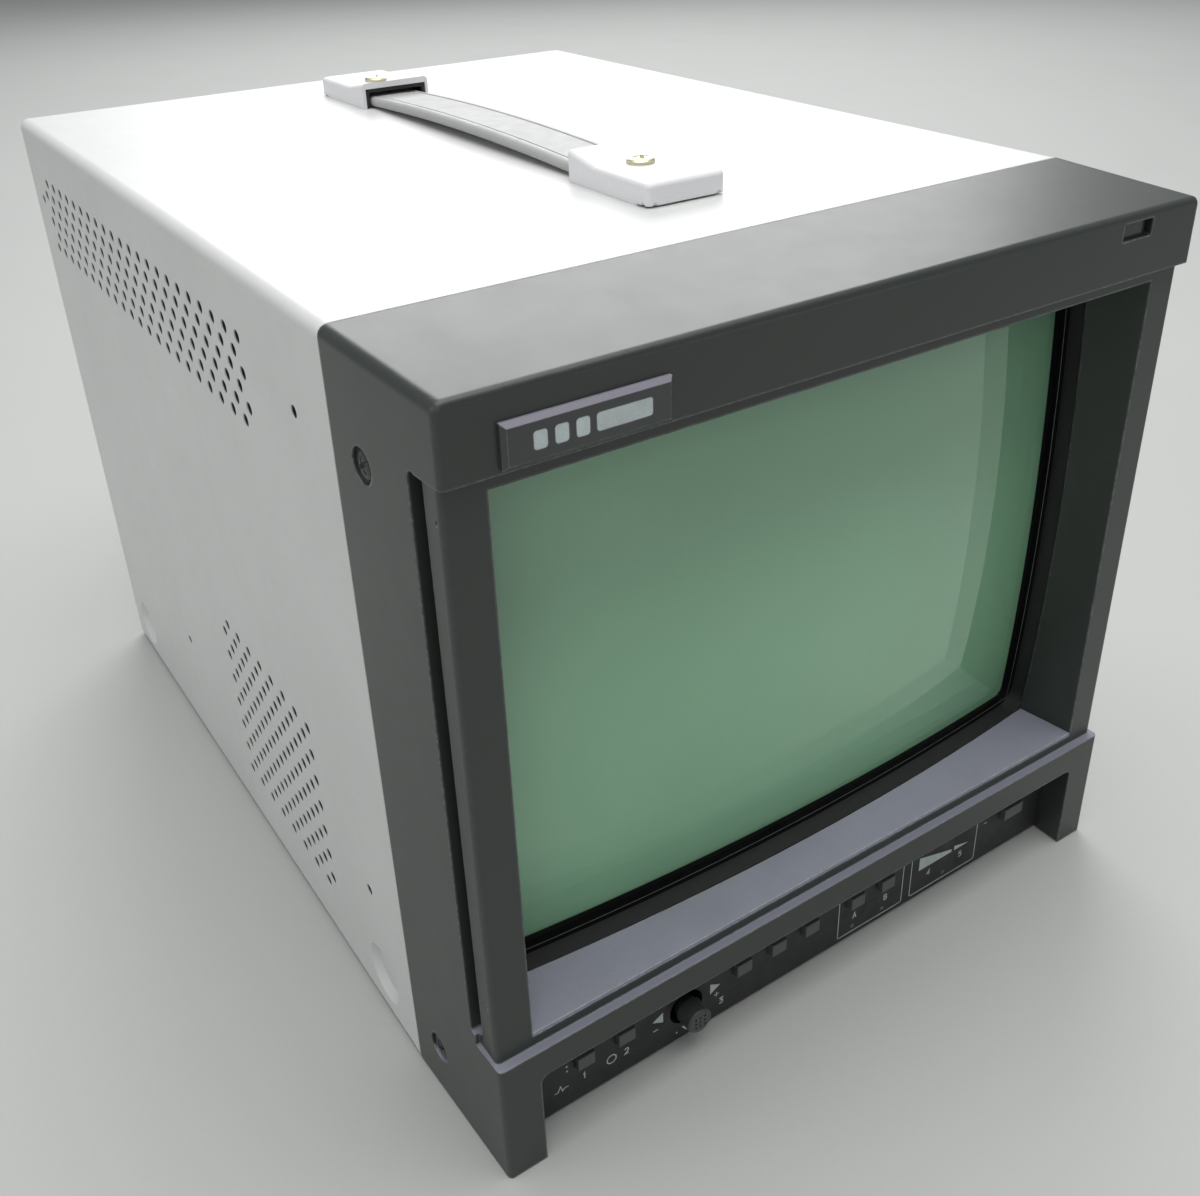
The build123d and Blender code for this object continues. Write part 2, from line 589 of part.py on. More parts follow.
with BuildPart() as shadow_mask:
    with BuildSketch(upright(INNER_FACE_DEPTH + 8)):
        with Locations((0, up(TUBE_HEIGHT))):
            RectangleRounded(PICTURE_WIDTH - 1, PICTURE_HEIGHT - 1, 8.0)
    extrude(amount=-14.0)
    add(face_ball(INNER_FACE_DEPTH + 9.0), mode=Mode.INTERSECT)
    add(face_ball(INNER_FACE_DEPTH + 9.5), mode=Mode.SUBTRACT)
    with BuildSketch(upright(INNER_FACE_DEPTH + 14)):
        with Locations((0, up(TUBE_HEIGHT))):
            RectangleRounded(PICTURE_WIDTH - 1, PICTURE_HEIGHT - 1, 8.0)
            RectangleRounded(PICTURE_WIDTH - 3, PICTURE_HEIGHT - 3, 7.0, mode=Mode.SUBTRACT)
    extrude(amount=-8.0)
save(shadow_mask, "shadow_mask")

with BuildPart() as funnel_outside:
    for depth, width, tall, corner in FUNNEL_SECTIONS:
        with BuildSketch(upright(depth)):
            with Locations((0, up(TUBE_HEIGHT))):
                RectangleRounded(width, tall, corner)
    loft()
    with BuildSketch(upright(NECK_START - 0.5)):
        with Locations((0, up(TUBE_HEIGHT))):
            Circle(NECK_RADIUS)
    extrude(amount=-(NECK_END - NECK_START + 0.5))

with BuildPart() as funnel_inside:
    for depth, width, tall, corner in FUNNEL_SECTIONS:
        with BuildSketch(upright(depth - 0.01)):
            with Locations((0, up(TUBE_HEIGHT))):
                RectangleRounded(width - 2 * FUNNEL_WALL, tall - 2 * FUNNEL_WALL, corner - FUNNEL_WALL)
    loft()
    with BuildSketch(upright(NECK_START - 4)):
        with Locations((0, up(TUBE_HEIGHT))):
            Circle(NECK_RADIUS - NECK_WALL)
    extrude(amount=-(NECK_END - NECK_START + 2))

with BuildPart() as crt_funnel:
    add(funnel_outside.part)
    add(funnel_inside.part, mode=Mode.SUBTRACT)
save(crt_funnel, "crt_funnel")

GUN_CYLINDERS = [(176.0, 196.0, 11.0), (199.0, 215.0, 10.5), (218.0, 224.0, 10.0), (227.0, 240.0, 9.0)]

with BuildPart() as electron_gun:
    for start, end, radius in GUN_CYLINDERS:
        with BuildSketch(upright(start)):
            with Locations((0, up(TUBE_HEIGHT))):
                Circle(radius)
                Circle(radius - 1.5, mode=Mode.SUBTRACT)
        extrude(amount=-(end - start))
    with BuildSketch(upright(178.0)):
        with Locations((0, up(TUBE_HEIGHT))):
            with PolarLocations(9.6, 3):
                Circle(1.0)
    extrude(amount=-75.0)
save(electron_gun, "electron_gun")

with BuildPart() as crt_base:
    with BuildSketch(upright(NECK_END + 0.05)):
        with Locations((0, up(TUBE_HEIGHT))):
            Circle(12.0)
            Circle(3.0, mode=Mode.SUBTRACT)
    extrude(amount=-4.0)
    with BuildSketch(upright(NECK_END + 3.0)):
        with Locations((0, up(TUBE_HEIGHT))):
            with PolarLocations(7.6, 9):
                Circle(0.6)
    extrude(amount=-9.0)
save(crt_base, "crt_base")

BAND_START = BOSS_END + 0.1
with BuildPart() as tension_band:
    with BuildSketch(upright(BAND_START)):
        with Locations((0, up(TUBE_HEIGHT))):
            RectangleRounded(GLASS_WIDTH + 2.2, GLASS_HEIGHT + 2.2, GLASS_CORNER + 1.1)
            RectangleRounded(GLASS_WIDTH + 0.2, GLASS_HEIGHT + 0.2, GLASS_CORNER + 0.1, mode=Mode.SUBTRACT)
    extrude(amount=-16.0)
    with BuildSketch(upright(BAND_START)):
        with Locations((0, up(TUBE_HEIGHT))):
            with GridLocations(2 * EAR_X, 2 * EAR_Z, 2, 2):
                Circle(4.4)
            with GridLocations(2 * EAR_X - 9.0, 2 * EAR_Z - 9.0, 2, 2):
                Circle(5.5)
            RectangleRounded(GLASS_WIDTH + 1.2, GLASS_HEIGHT + 1.2, GLASS_CORNER + 0.6, mode=Mode.SUBTRACT)
            with GridLocations(2 * EAR_X, 2 * EAR_Z, 2, 2):
                Circle(2.1, mode=Mode.SUBTRACT)
    extrude(amount=-1.5)
save(tension_band, "tension_band")

with BuildPart() as crt_screws:
    with BuildSketch(upright(BAND_START + 1.5)):
        with Locations((0, up(TUBE_HEIGHT))):
            with GridLocations(2 * EAR_X, 2 * EAR_Z, 2, 2):
                RegularPolygon(3.9, 6, major_radius=False)
    extrude(amount=-3.0)
    with BuildSketch(upright(BAND_START + 1.6)):
        with Locations((0, up(TUBE_HEIGHT))):
            with GridLocations(2 * EAR_X, 2 * EAR_Z, 2, 2):
                Circle(2.0)
    extrude(amount=12.0)
save(crt_screws, "crt_screws")

with BuildPart() as crt_gasket:
    with BuildSketch(upright(MASK_DEPTH)):
        with Locations((0, up(TUBE_HEIGHT))):
            RectangleRounded(GLASS_WIDTH - 5, GLASS_HEIGHT - 12, 16.0)
            RectangleRounded(2 * OPENING_BACK_HALF + 3.5, 2 * OPENING_BACK_HALF - 41, 6.0, mode=Mode.SUBTRACT)
    extrude(amount=-20.0)
    add(face_ball(MASK_DEPTH + 0.05), mode=Mode.INTERSECT)
    add(face_ball(GLASS_DEPTH - 0.05), mode=Mode.SUBTRACT)
save(crt_gasket, "crt_gasket")


# ---------------------------------------------------------------- parts round the tube's neck
def neck_ring(start, end, inner, outer):
    """Plain ring round the neck, for the open builder."""
    with BuildSketch(upright(start)) as ring:
        with Locations((0, up(TUBE_HEIGHT))):
            Circle(outer)
            Circle(inner, mode=Mode.SUBTRACT)
    extrude(ring.sketch, amount=-(end - start))


YOKE_START = 140.0
with BuildPart() as yoke_core:
    neck_ring(YOKE_START + 6, YOKE_START + 32, 31.0, 37.0)
save(yoke_core, "yoke_core")

with BuildPart() as yoke_housing:
    neck_ring(YOKE_START, YOKE_START + 4, 41.0, 52.0)
    neck_ring(YOKE_START, YOKE_START + 36, 38.0, 41.5)
    neck_ring(YOKE_START + 34, YOKE_START + 38, 26.5, 41.5)
    neck_ring(YOKE_START + 36, YOKE_START + 44, 15.0, 29.0)
save(yoke_housing, "yoke_housing")

with BuildPart() as yoke_coils:
    neck_ring(YOKE_START + 4.5, YOKE_START + 33, 25.5, 30.5)
    neck_ring(YOKE_START + 2.5, YOKE_START + 5.5, 27.0, 37.2)
    neck_ring(YOKE_START + 2.0, YOKE_START + 3.0, 30.0, 34.0)
save(yoke_coils, "yoke_coils")

RINGS_START = 188.0
with BuildPart() as convergence_rings:
    for gap in (0.0, 5.0, 10.0, 18.0, 23.0, 28.0):
        neck_ring(RINGS_START + gap, RINGS_START + gap + 3.0, 15.2, 22.0)
    neck_ring(RINGS_START - 2, RINGS_START + 34, 14.7, 15.25)
save(convergence_rings, "convergence_rings")

with BuildPart() as neck_board:
    with BuildSketch(upright(NECK_END + 5.0)):
        with Locations((0, up(TUBE_HEIGHT))):
            RectangleRounded(76.0, 66.0, 2.0)
            with PolarLocations(7.6, 9):
                Circle(0.7, mode=Mode.SUBTRACT)
    extrude(amount=-1.6)
    neck_ring(NECK_END + 6.6, NECK_END + 13.0, 12.5, 15.5)
    with BuildSketch(upright(NECK_END + 6.6)):
        with Locations((-26.0, up(TUBE_HEIGHT + 18)), (0, up(TUBE_HEIGHT + 22)), (26.0, up(TUBE_HEIGHT + 18))):
            Rectangle(12.0, 8.0)
    extrude(amount=-11.0)
save(neck_board, "neck_board")

ANODE_DEPTH = 86.0
with BuildPart() as anode_cap:
    with Locations((0, back(ANODE_DEPTH), up(TUBE_HEIGHT + 60))):
        Cylinder(12.0, 24.0, align=(Align.CENTER, Align.CENTER, Align.MIN))
    fillet(faces().sort_by(Axis.Z)[-1].edges(), radius=6.0)
    with Locations((0, back(ANODE_DEPTH), up(TUBE_HEIGHT))):
        Box(40, 40, 121.0, mode=Mode.SUBTRACT)
    add(funnel_outside.part, mode=Mode.SUBTRACT)
    add(funnel_inside.part, mode=Mode.SUBTRACT)
save(anode_cap, "anode_cap")

DEGAUSS_DEPTH = 60.0
with BuildPart() as degaussing_coil:
    with BuildSketch(upright(DEGAUSS_DEPTH - 4)):
        with Locations((0, up(TUBE_HEIGHT))):
            RectangleRounded(GLASS_WIDTH + 4, GLASS_HEIGHT + 4, 30.0)
            RectangleRounded(GLASS_WIDTH - 6, GLASS_HEIGHT - 6, 26.0, mode=Mode.SUBTRACT)
    extrude(amount=-8.0)
    add(funnel_outside.part, mode=Mode.SUBTRACT)
save(degaussing_coil, "degaussing_coil")


# ---------------------------------------------------------------- chassis and boards
BOARD_TOP_HEIGHT = 12.0
MAIN_FRONT = 96.0
MAIN_REAR = 280.0
MAIN_HALF = 84.0
REAR_DEPTH = BODY_DEPTH - REAR_INSET

with BuildPart() as bottom_pan:
    with BuildSketch(level(SHEET + 0.1)):
        with Locations((0, (back(47.0) + back(REAR_DEPTH)) / 2)):
            Rectangle(WIDTH - 2 * SHEET - 1.0, REAR_DEPTH - 47.0)
        with Locations((0, back(30.0))):
            Rectangle(190.0, 36.0)
        for row in range(5):
            with Locations((0, back(120.0 + 30 * row))):
                with GridLocations(40.0, 30.0, 4, 1):
                    SlotOverall(30.0, 3.5, mode=Mode.SUBTRACT)
    extrude(amount=SHEET)
    for side in (-1, 1):
        with BuildSketch(level(SHEET + 0.1)):
            with Locations((side * (HALF - SHEET - 1.1), (back(80.0) + back(272.0)) / 2)):
                Rectangle(SHEET, 192.0)
        extrude(amount=12.0)
        with BuildSketch(level(SHEET + 0.1)):
            with Locations([(side * COVER_SCREW_X, back(depth)) for depth in COVER_SCREW_DEPTHS]):
                Circle(3.2)
        extrude(amount=5.0)
        with BuildSketch(level(SHEET)):
            with Locations([(side * COVER_SCREW_X, back(depth)) for depth in COVER_SCREW_DEPTHS]):
                Circle(1.55)
        extrude(amount=8.0, mode=Mode.SUBTRACT)
    with BuildSketch(level(SHEET + 0.1)):
        with Locations((0, (back(MAIN_FRONT) + back(MAIN_REAR)) / 2)):
            with GridLocations(2 * MAIN_HALF - 12, MAIN_REAR - MAIN_FRONT - 12, 2, 2):
                Circle(3.0)
    extrude(amount=BOARD_TOP_HEIGHT - SHEET - 1.75)
save(bottom_pan, "bottom_pan")

with BuildPart() as main_board:
    with BuildSketch(level(BOARD_TOP_HEIGHT - 1.6)):
        with Locations((0, (back(MAIN_FRONT) + back(MAIN_REAR)) / 2)):
            Rectangle(2 * MAIN_HALF, MAIN_REAR - MAIN_FRONT)
    extrude(amount=1.6)
save(main_board, "main_board")

with BuildPart() as flyback_transformer:
    with BuildSketch(level(BOARD_TOP_HEIGHT)):
        with Locations((56.0, back(200.0))):
            RectangleRounded(44.0, 38.0, 4.0)
    extrude(amount=34.0)
    with BuildSketch(level(BOARD_TOP_HEIGHT + 34.0)):
        with Locations((56.0, back(200.0))):
            Circle(15.0)
    extrude(amount=22.0)
    with BuildSketch(level(BOARD_TOP_HEIGHT + 8.0)):
        with Locations((56.0, back(222.0))):
            Rectangle(12.0, 6.0)
    extrude(amount=40.0)
save(flyback_transformer, "flyback_transformer")

with BuildPart() as mains_transformer:
    with BuildSketch(level(BOARD_TOP_HEIGHT)):
        with Locations((-48.0, back(250.0))):
            Rectangle(50.0, 40.0)
    extrude(amount=42.0)
    for way in (-1, 1):
        with BuildSketch(level(BOARD_TOP_HEIGHT + 6)):
            with Locations((-48.0, back(250.0 + way * 22.5))):
                Rectangle(34.0, 9.0)
        extrude(amount=30.0)
save(mains_transformer, "mains_transformer")

with BuildPart() as heat_sink:
    with BuildSketch(level(BOARD_TOP_HEIGHT)):
        with Locations((-72.0, back(178.0))):
            Rectangle(3.0, 84.0)
        with Locations((-64.5, back(178.0))):
            with GridLocations(1.0, 9.0, 1, 9):
                Rectangle(12.0, 1.6)
    extrude(amount=62.0)
save(heat_sink, "heat_sink")

CAPACITORS = [(-30.0, 130.0, 11.0, 36.0), (-4.0, 130.0, 9.0, 30.0), (20.0, 128.0, 7.0, 26.0),
              (14.0, 250.0, 8.0, 28.0), (36.0, 256.0, 6.0, 20.0), (62.0, 256.0, 6.0, 20.0)]
with BuildPart() as filter_capacitors:
    for x, depth, radius, tall in CAPACITORS:
        with Locations((x, back(depth), up(BOARD_TOP_HEIGHT))):
            Cylinder(radius, tall, align=(Align.CENTER, Align.CENTER, Align.MIN))
    fillet(edges().filter_by(GeomType.CIRCLE), radius=0.8)
save(filter_capacitors, "filter_capacitors")

VIDEO_HEIGHT = 176.0
with BuildPart() as video_board:
    with BuildSketch(level(VIDEO_HEIGHT)):
        with Locations((0, back(205.0))):
            Rectangle(176.0, 150.0)
    extrude(amount=1.6)
    with BuildSketch(level(VIDEO_HEIGHT + 1.6)):
        for x, depth in ((-52.0, 170.0), (-10.0, 176.0), (34.0, 168.0), (-40.0, 232.0), (8.0, 226.0)):
            with Locations((x, back(depth))):
                Rectangle(24.0, 9.0)
    extrude(amount=3.6)
save(video_board, "video_board")

with BuildPart() as board_brackets:
    for depth in (136.0, 276.0):
        with BuildSketch(upright(depth)):
            with Locations((0, up(VIDEO_HEIGHT - 7.0))):
                Rectangle(WIDTH - 2 * SHEET - 1.0, 14.0 - 0.1)
            with Locations((0, up(VIDEO_HEIGHT - 7.0))):
                Rectangle(WIDTH - 30.0, 8.0, mode=Mode.SUBTRACT)
        extrude(amount=-SHEET)
save(board_brackets, "board_brackets")

with BuildPart() as bezel_brackets:
    for side in (-1, 1):
        for height in BEZEL_SCREW_HEIGHTS:
            inner = BEZEL_INSIDE_HALF - 0.1 - SHEET
            outer = HALF - SHEET - 0.1 - SHEET
            with BuildSketch(level(height - 8)):
                with BuildLine():
                    Polyline(
                        (side * inner, back(25.0)),
                        (side * (inner + SHEET), back(25.0)),
                        (side * (inner + SHEET), back(46.5)),
                        (side * (outer + SHEET), back(49.0)),
                        (side * (outer + SHEET), back(54.5)),
                        (side * outer, back(54.5)),
                        (side * outer, back(50.0)),
                        (side * inner, back(47.5)),
                        close=True,
                    )
                make_face()
            extrude(amount=16)
            with BuildSketch(side_plane(side)):
                with Locations(side_point(side, BEZEL_SCREW_DEPTH, height)):
                    Circle(1.9)
            extrude(amount=8.0, mode=Mode.SUBTRACT)
save(bezel_brackets, "bezel_brackets")

SPEAKER_DEPTH = 131.5
SPEAKER_HEIGHT = 49.5
with BuildPart() as speaker_frame:
    with BuildSketch(side_plane(-1, SHEET + 0.2)):
        with Locations(side_point(-1, SPEAKER_DEPTH, SPEAKER_HEIGHT)):
            Circle(33.0)
            Circle(28.0, mode=Mode.SUBTRACT)
    extrude(amount=2.0)
    with BuildSketch(side_plane(-1, SHEET + 2.2)):
        with Locations(side_point(-1, SPEAKER_DEPTH, SPEAKER_HEIGHT)):
            Circle(30.0)
            Circle(28.6, mode=Mode.SUBTRACT)
    extrude(amount=8.0)
    with BuildSketch(side_plane(-1, SHEET + 10.2)):
        with Locations(side_point(-1, SPEAKER_DEPTH, SPEAKER_HEIGHT)):
            Circle(30.0)
            Circle(9.0, mode=Mode.SUBTRACT)
    extrude(amount=1.2)
    with BuildSketch(side_plane(-1, SHEET + 11.4)):
        with Locations(side_point(-1, SPEAKER_DEPTH, SPEAKER_HEIGHT)):
            Circle(16.0)
    extrude(amount=9.0)
save(speaker_frame, "speaker_frame")

with BuildPart() as speaker_cone:
    with BuildSketch(side_plane(-1, SHEET + 1.2)):
        with Locations(side_point(-1, SPEAKER_DEPTH, SPEAKER_HEIGHT)):
            Circle(27.8)
            Circle(24.0, mode=Mode.SUBTRACT)
    extrude(amount=0.8)
    with BuildSketch(side_plane(-1, SHEET + 1.6)):
        with Locations(side_point(-1, SPEAKER_DEPTH, SPEAKER_HEIGHT)):
            Circle(25.0)
    extrude(amount=8.0, taper=58)
    with BuildSketch(side_plane(-1, SHEET + 1.2)):
        with Locations(side_point(-1, SPEAKER_DEPTH, SPEAKER_HEIGHT)):
            Circle(23.6)
    extrude(amount=7.6, taper=58, mode=Mode.SUBTRACT)
save(speaker_cone, "speaker_cone")


# ---------------------------------------------------------------- handle
TOP = BODY_HEIGHT
CAP_SHEET = 1.0
CAP_FLAT = 24.5          # length of the level part of the lid
CAP_FOLD = 1.4           # outside radius of the folds
STRAP_GAP = 0.3          # strap above the cover at its ends
STRAP_FRONT = 82.0
STRAP_REAR = 270.5
SCREW_HEAD_RADIUS = 3.85
SCREW_HEAD_HEIGHT = 1.8


def make_cap(name, closed, way):
    """Folded end cap with its lid bent up at the mouth. way is 1 if it opens to the rear, -1 to the front."""
    profile = [(0, 0), (0, CAP_HEIGHT), (CAP_FLAT, CAP_HEIGHT), (CAP_LENGTH, MOUTH_HEIGHT), (CAP_LENGTH, 0)]
    lip_low = MOUTH_HEIGHT - MOUTH_LIP
    hollow = [
        (CAP_SHEET, -1),
        (CAP_SHEET, CAP_HEIGHT - CAP_SHEET),
        (CAP_FLAT, CAP_HEIGHT - CAP_SHEET),
        (CAP_LENGTH - CAP_SHEET, MOUTH_HEIGHT - 1.25 * CAP_SHEET),
        (CAP_LENGTH - CAP_SHEET, lip_low),
        (CAP_LENGTH + 1, lip_low),
        (CAP_LENGTH + 1, -1),
    ]
    with BuildPart() as cap:
        with BuildSketch(Plane.YZ.offset(HANDLE_X)):
            Polygon(*[(back(closed + way * along), up(TOP + high)) for along, high in profile], align=None)
        extrude(amount=CAP_WIDTH / 2, both=True)
        corners = edges().filter_by(Axis.Z).filter_by(lambda e: abs(e.center().Y - back(closed)) < 0.1)
        fillet(corners, radius=1.8)
        lid = faces().filter_by(lambda f: f.normal_at().Z > 0.5)
        fillet(lid.edges().filter_by(lambda e: abs(e.center().Y - back(closed + way * CAP_LENGTH)) > 0.1
                                     and abs(e.center().Y - back(closed + way * CAP_FLAT)) > 0.1),
               radius=CAP_FOLD)
        with BuildSketch(Plane.YZ.offset(HANDLE_X)):
            Polygon(*[(back(closed + way * along), up(TOP + high)) for along, high in hollow], align=None)
        extrude(amount=CAP_WIDTH / 2 - CAP_SHEET, both=True, mode=Mode.SUBTRACT)
        # relief where the corners are folded, and a gap under the closed end
        for side in (-1, 1):
            corner = HANDLE_X + side * CAP_WIDTH / 2
            with Locations(
                (corner - side * 2.2, back(closed), up(TOP + 0.5)),
                (corner, back(closed + way * 2.2), up(TOP + 0.5)),
            ):
                Sphere(0.7, mode=Mode.SUBTRACT)
        with Locations((HANDLE_X, back(closed), up(TOP))):
            Box(CAP_WIDTH + 1, 10.0, 1.0, mode=Mode.SUBTRACT)
        # collar that the screw pulls down onto the cover, inside the strap's slot
        with Locations((HANDLE_X, back(closed + way * CAP_SCREW), up(TOP))):
            Cylinder(3.0, CAP_HEIGHT - CAP_SHEET + 0.2, align=(Align.CENTER, Align.CENTER, Align.MIN))
            Cylinder(2.1, 4 * CAP_HEIGHT, mode=Mode.SUBTRACT)
    save(cap, name)


make_cap("handle_cap_front", FRONT_CAP_START, 1)
make_cap("handle_cap_rear", REAR_CAP_END, -1)

ARCH_FRONT = FRONT_CAP_START + CAP_LENGTH - 1.5
ARCH_REAR = REAR_CAP_END - CAP_LENGTH + 1.5

with BuildPart() as handle_strap:
    low = up(TOP + STRAP_GAP)
    high = low + STRAP_THICKNESS
    arch_middle = (back(ARCH_FRONT) + back(ARCH_REAR)) / 2
    with BuildSketch(Plane.YZ.offset(HANDLE_X)):
        with BuildLine():
            Line((back(STRAP_FRONT), low), (back(ARCH_FRONT), low))
            ThreePointArc((back(ARCH_FRONT), low), (arch_middle, low + STRAP_RISE), (back(ARCH_REAR), low))
            Line((back(ARCH_REAR), low), (back(STRAP_REAR), low))
            Line((back(STRAP_REAR), low), (back(STRAP_REAR), high))
            Line((back(STRAP_REAR), high), (back(ARCH_REAR), high))
            ThreePointArc((back(ARCH_REAR), high), (arch_middle, high + STRAP_RISE), (back(ARCH_FRONT), high))
            Polyline((back(ARCH_FRONT), high), (back(STRAP_FRONT), high), (back(STRAP_FRONT), low))
        make_face()
    extrude(amount=STRAP_WIDTH / 2, both=True)
    with BuildSketch(level(TOP)):
        with Locations([(HANDLE_X, back(depth)) for depth in HANDLE_SCREWS]):
            SlotOverall(13.0, 6.8, rotation=90)
    extrude(amount=8.0, mode=Mode.SUBTRACT)
save(handle_strap, "handle_strap")

with BuildPart() as handle_screws:
    head_low = TOP + CAP_HEIGHT
    head_places = [(HANDLE_X, back(depth)) for depth in HANDLE_SCREWS]
    with BuildSketch(level(head_low)):
        with Locations(head_places):
            Circle(SCREW_HEAD_RADIUS)
    extrude(amount=SCREW_HEAD_HEIGHT)
    fillet(edges().filter_by(GeomType.CIRCLE).group_by(Axis.Z)[-1], radius=1.0)
    with BuildSketch(level(head_low + SCREW_HEAD_HEIGHT)):
        with Locations(head_places):
            Rectangle(4.4, 1.0)
            Rectangle(1.0, 4.4)
    extrude(amount=-1.2, mode=Mode.SUBTRACT)
    with BuildSketch(level(head_low + 0.1)):
        with Locations(head_places):
            Circle(2.0)
    extrude(amount=-(CAP_HEIGHT + 5.0))
save(handle_screws, "handle_screws")


# ---------------------------------------------------------------- fixings and feet
with BuildPart() as rubber_feet:
    with BuildSketch(Plane.XY):
        for side in (-1, 1):
            with Locations((side * 101.5, back(62.0)), (side * 101.5, back(286.0))):
                Circle(6.5)
    extrude(amount=FOOT_HEIGHT)
save(rubber_feet, "rubber_feet")

with BuildPart() as cover_screws:
    for side in (-1, 1):
        for depth in COVER_SCREW_DEPTHS:
            with Locations((side * COVER_SCREW_X, back(depth), up(0.05))):
                Cone(2.75, 1.5, SHEET, align=(Align.CENTER, Align.CENTER, Align.MIN))
                Cylinder(1.5, 6.0, align=(Align.CENTER, Align.CENTER, Align.MIN))
                Cylinder(0.7, 0.7, align=(Align.CENTER, Align.CENTER, Align.MIN), mode=Mode.SUBTRACT)
save(cover_screws, "cover_screws")

with BuildPart() as bezel_screws:
    for side in (-1, 1):
        places = [side_point(side, BEZEL_SCREW_DEPTH, height) for height in BEZEL_SCREW_HEIGHTS]
        head_inset = COUNTERBORE_DEPTH
        with BuildSketch(side_plane(side, head_inset)):
            with Locations(places):
                Circle(3.6)
        extrude(amount=-1.15, taper=18)
        with BuildSketch(side_plane(side, head_inset - 1.15)):
            with Locations(places):
                Rectangle(4.2, 1.0)
                Rectangle(1.0, 4.2)
        extrude(amount=1.0, mode=Mode.SUBTRACT)
        with BuildSketch(side_plane(side, head_inset)):
            with Locations(places):
                Circle(1.85)
        extrude(amount=5.5)
save(bezel_screws, "bezel_screws")


# ---------------------------------------------------------------- rear panel and its sockets
BNC_X = [-84.0, -62.0, -40.0, -18.0]
BNC_HEIGHTS = [150.0, 124.0]
INLET_X = 72.0
INLET_HEIGHT = 34.0
REMOTE_X = -50.0
REMOTE_HEIGHT = 92.0
PANEL_LOW = 3.0
PANEL_HIGH = BODY_HEIGHT - SHEET - 0.3

with BuildPart() as rear_panel:
    with BuildSketch(upright(REAR_DEPTH)):
        with Locations((0, up((PANEL_LOW + PANEL_HIGH) / 2))):
            RectangleRounded(WIDTH - 2 * SHEET - 0.6, PANEL_HIGH - PANEL_LOW, 2.5)
        with Locations([(side * HALF, up(DIMPLES[1][1])) for side in (-1, 1)]):
            Rectangle(7.0, 2 * DIMPLE_RADIUS + 1, mode=Mode.SUBTRACT)
        with Locations([(x, up(height)) for x in BNC_X for height in BNC_HEIGHTS]):
            Circle(4.9, mode=Mode.SUBTRACT)
        with Locations((INLET_X, up(INLET_HEIGHT))):
            Rectangle(27.4, 19.4, mode=Mode.SUBTRACT)
        with Locations((REMOTE_X, up(REMOTE_HEIGHT))):
            Rectangle(24.4, 11.0, mode=Mode.SUBTRACT)
        for row in range(7):
            with Locations((48.0, up(186.0 - 8.0 * row))):
                with GridLocations(24.0, 8.0, 4, 1):
                    SlotOverall(19.0, 3.5, mode=Mode.SUBTRACT)
    extrude(amount=-1.5)
save(rear_panel, "rear_panel")

with BuildPart() as bnc_connectors:
    places = [(x, up(height)) for x in BNC_X for height in BNC_HEIGHTS]
    with BuildSketch(upright(REAR_DEPTH + 1.5)):
        with Locations(places):
            RegularPolygon(6.4, 6, major_radius=False)
    extrude(amount=-1.6)
    with BuildSketch(upright(REAR_DEPTH - 6.0)):
        with Locations(places):
            Circle(4.8)
    extrude(amount=-16.5)
    # bayonet lugs
    with BuildSketch(upright(REAR_DEPTH + 7.0)):
        with Locations([(x, height + way * 5.1) for x, height in places for way in (-1, 1)]):
            Rectangle(1.8, 1.4)
    extrude(amount=-1.8)
    with BuildSketch(upright(REAR_DEPTH + 10.5)):
        with Locations(places):
            Circle(4.0)
    extrude(amount=8.0, mode=Mode.SUBTRACT)
    with BuildSketch(upright(REAR_DEPTH + 10.0)):
        with Locations(places):
            Circle(1.0)
    extrude(amount=7.8)
save(bnc_connectors, "bnc_connectors")

with BuildPart() as mains_inlet:
    with BuildSketch(upright(REAR_DEPTH + 1.5)):
        with Locations((INLET_X, up(INLET_HEIGHT))):
            RectangleRounded(34.0, 26.0, 3.0)
    extrude(amount=-2.5)
    with BuildSketch(upright(REAR_DEPTH + 1.6)):
        with Locations((INLET_X, up(INLET_HEIGHT))):
            Rectangle(27.0, 19.0)
    extrude(amount=18.0)
    with BuildSketch(upright(REAR_DEPTH + 4.0)):
        with Locations((INLET_X, up(INLET_HEIGHT))):
            Rectangle(24.6, 17.0)
    extrude(amount=17.5, mode=Mode.SUBTRACT)
    with BuildSketch(upright(REAR_DEPTH)):
        with Locations(
            (INLET_X - 7.0, up(INLET_HEIGHT - 2.0)),
            (INLET_X, up(INLET_HEIGHT + 2.0)),
            (INLET_X + 7.0, up(INLET_HEIGHT - 2.0)),
        ):
            Rectangle(2.0, 4.0)
    extrude(amount=14.5)
save(mains_inlet, "mains_inlet")

with BuildPart() as remote_connector:
    with BuildSketch(upright(REAR_DEPTH + 1.5)):
        with Locations((REMOTE_X, up(REMOTE_HEIGHT))):
            RectangleRounded(30.8, 12.5, 1.5)
    extrude(amount=-1.0)
    with BuildSketch(upright(REAR_DEPTH + 2.0)):
        with Locations((REMOTE_X, up(REMOTE_HEIGHT))):
            Trapezoid(18.0, 8.6, 80)
    extrude(amount=-5.0)
    with BuildSketch(upright(REAR_DEPTH + 7.1)):
        with Locations((REMOTE_X, up(REMOTE_HEIGHT + 1.6))):
            with GridLocations(2.8, 2.8, 5, 1):
                Circle(0.6, mode=Mode.ADD)
        with Locations((REMOTE_X, up(REMOTE_HEIGHT - 1.6))):
            with GridLocations(2.8, 2.8, 4, 1):
                Circle(0.6, mode=Mode.ADD)
    extrude(amount=4.0, mode=Mode.SUBTRACT)
    with BuildSketch(upright(REAR_DEPTH + 1.6)):
        with Locations((REMOTE_X, up(REMOTE_HEIGHT))):
            Rectangle(20.0, 9.6)
    extrude(amount=9.0)
save(remote_connector, "remote_connector")

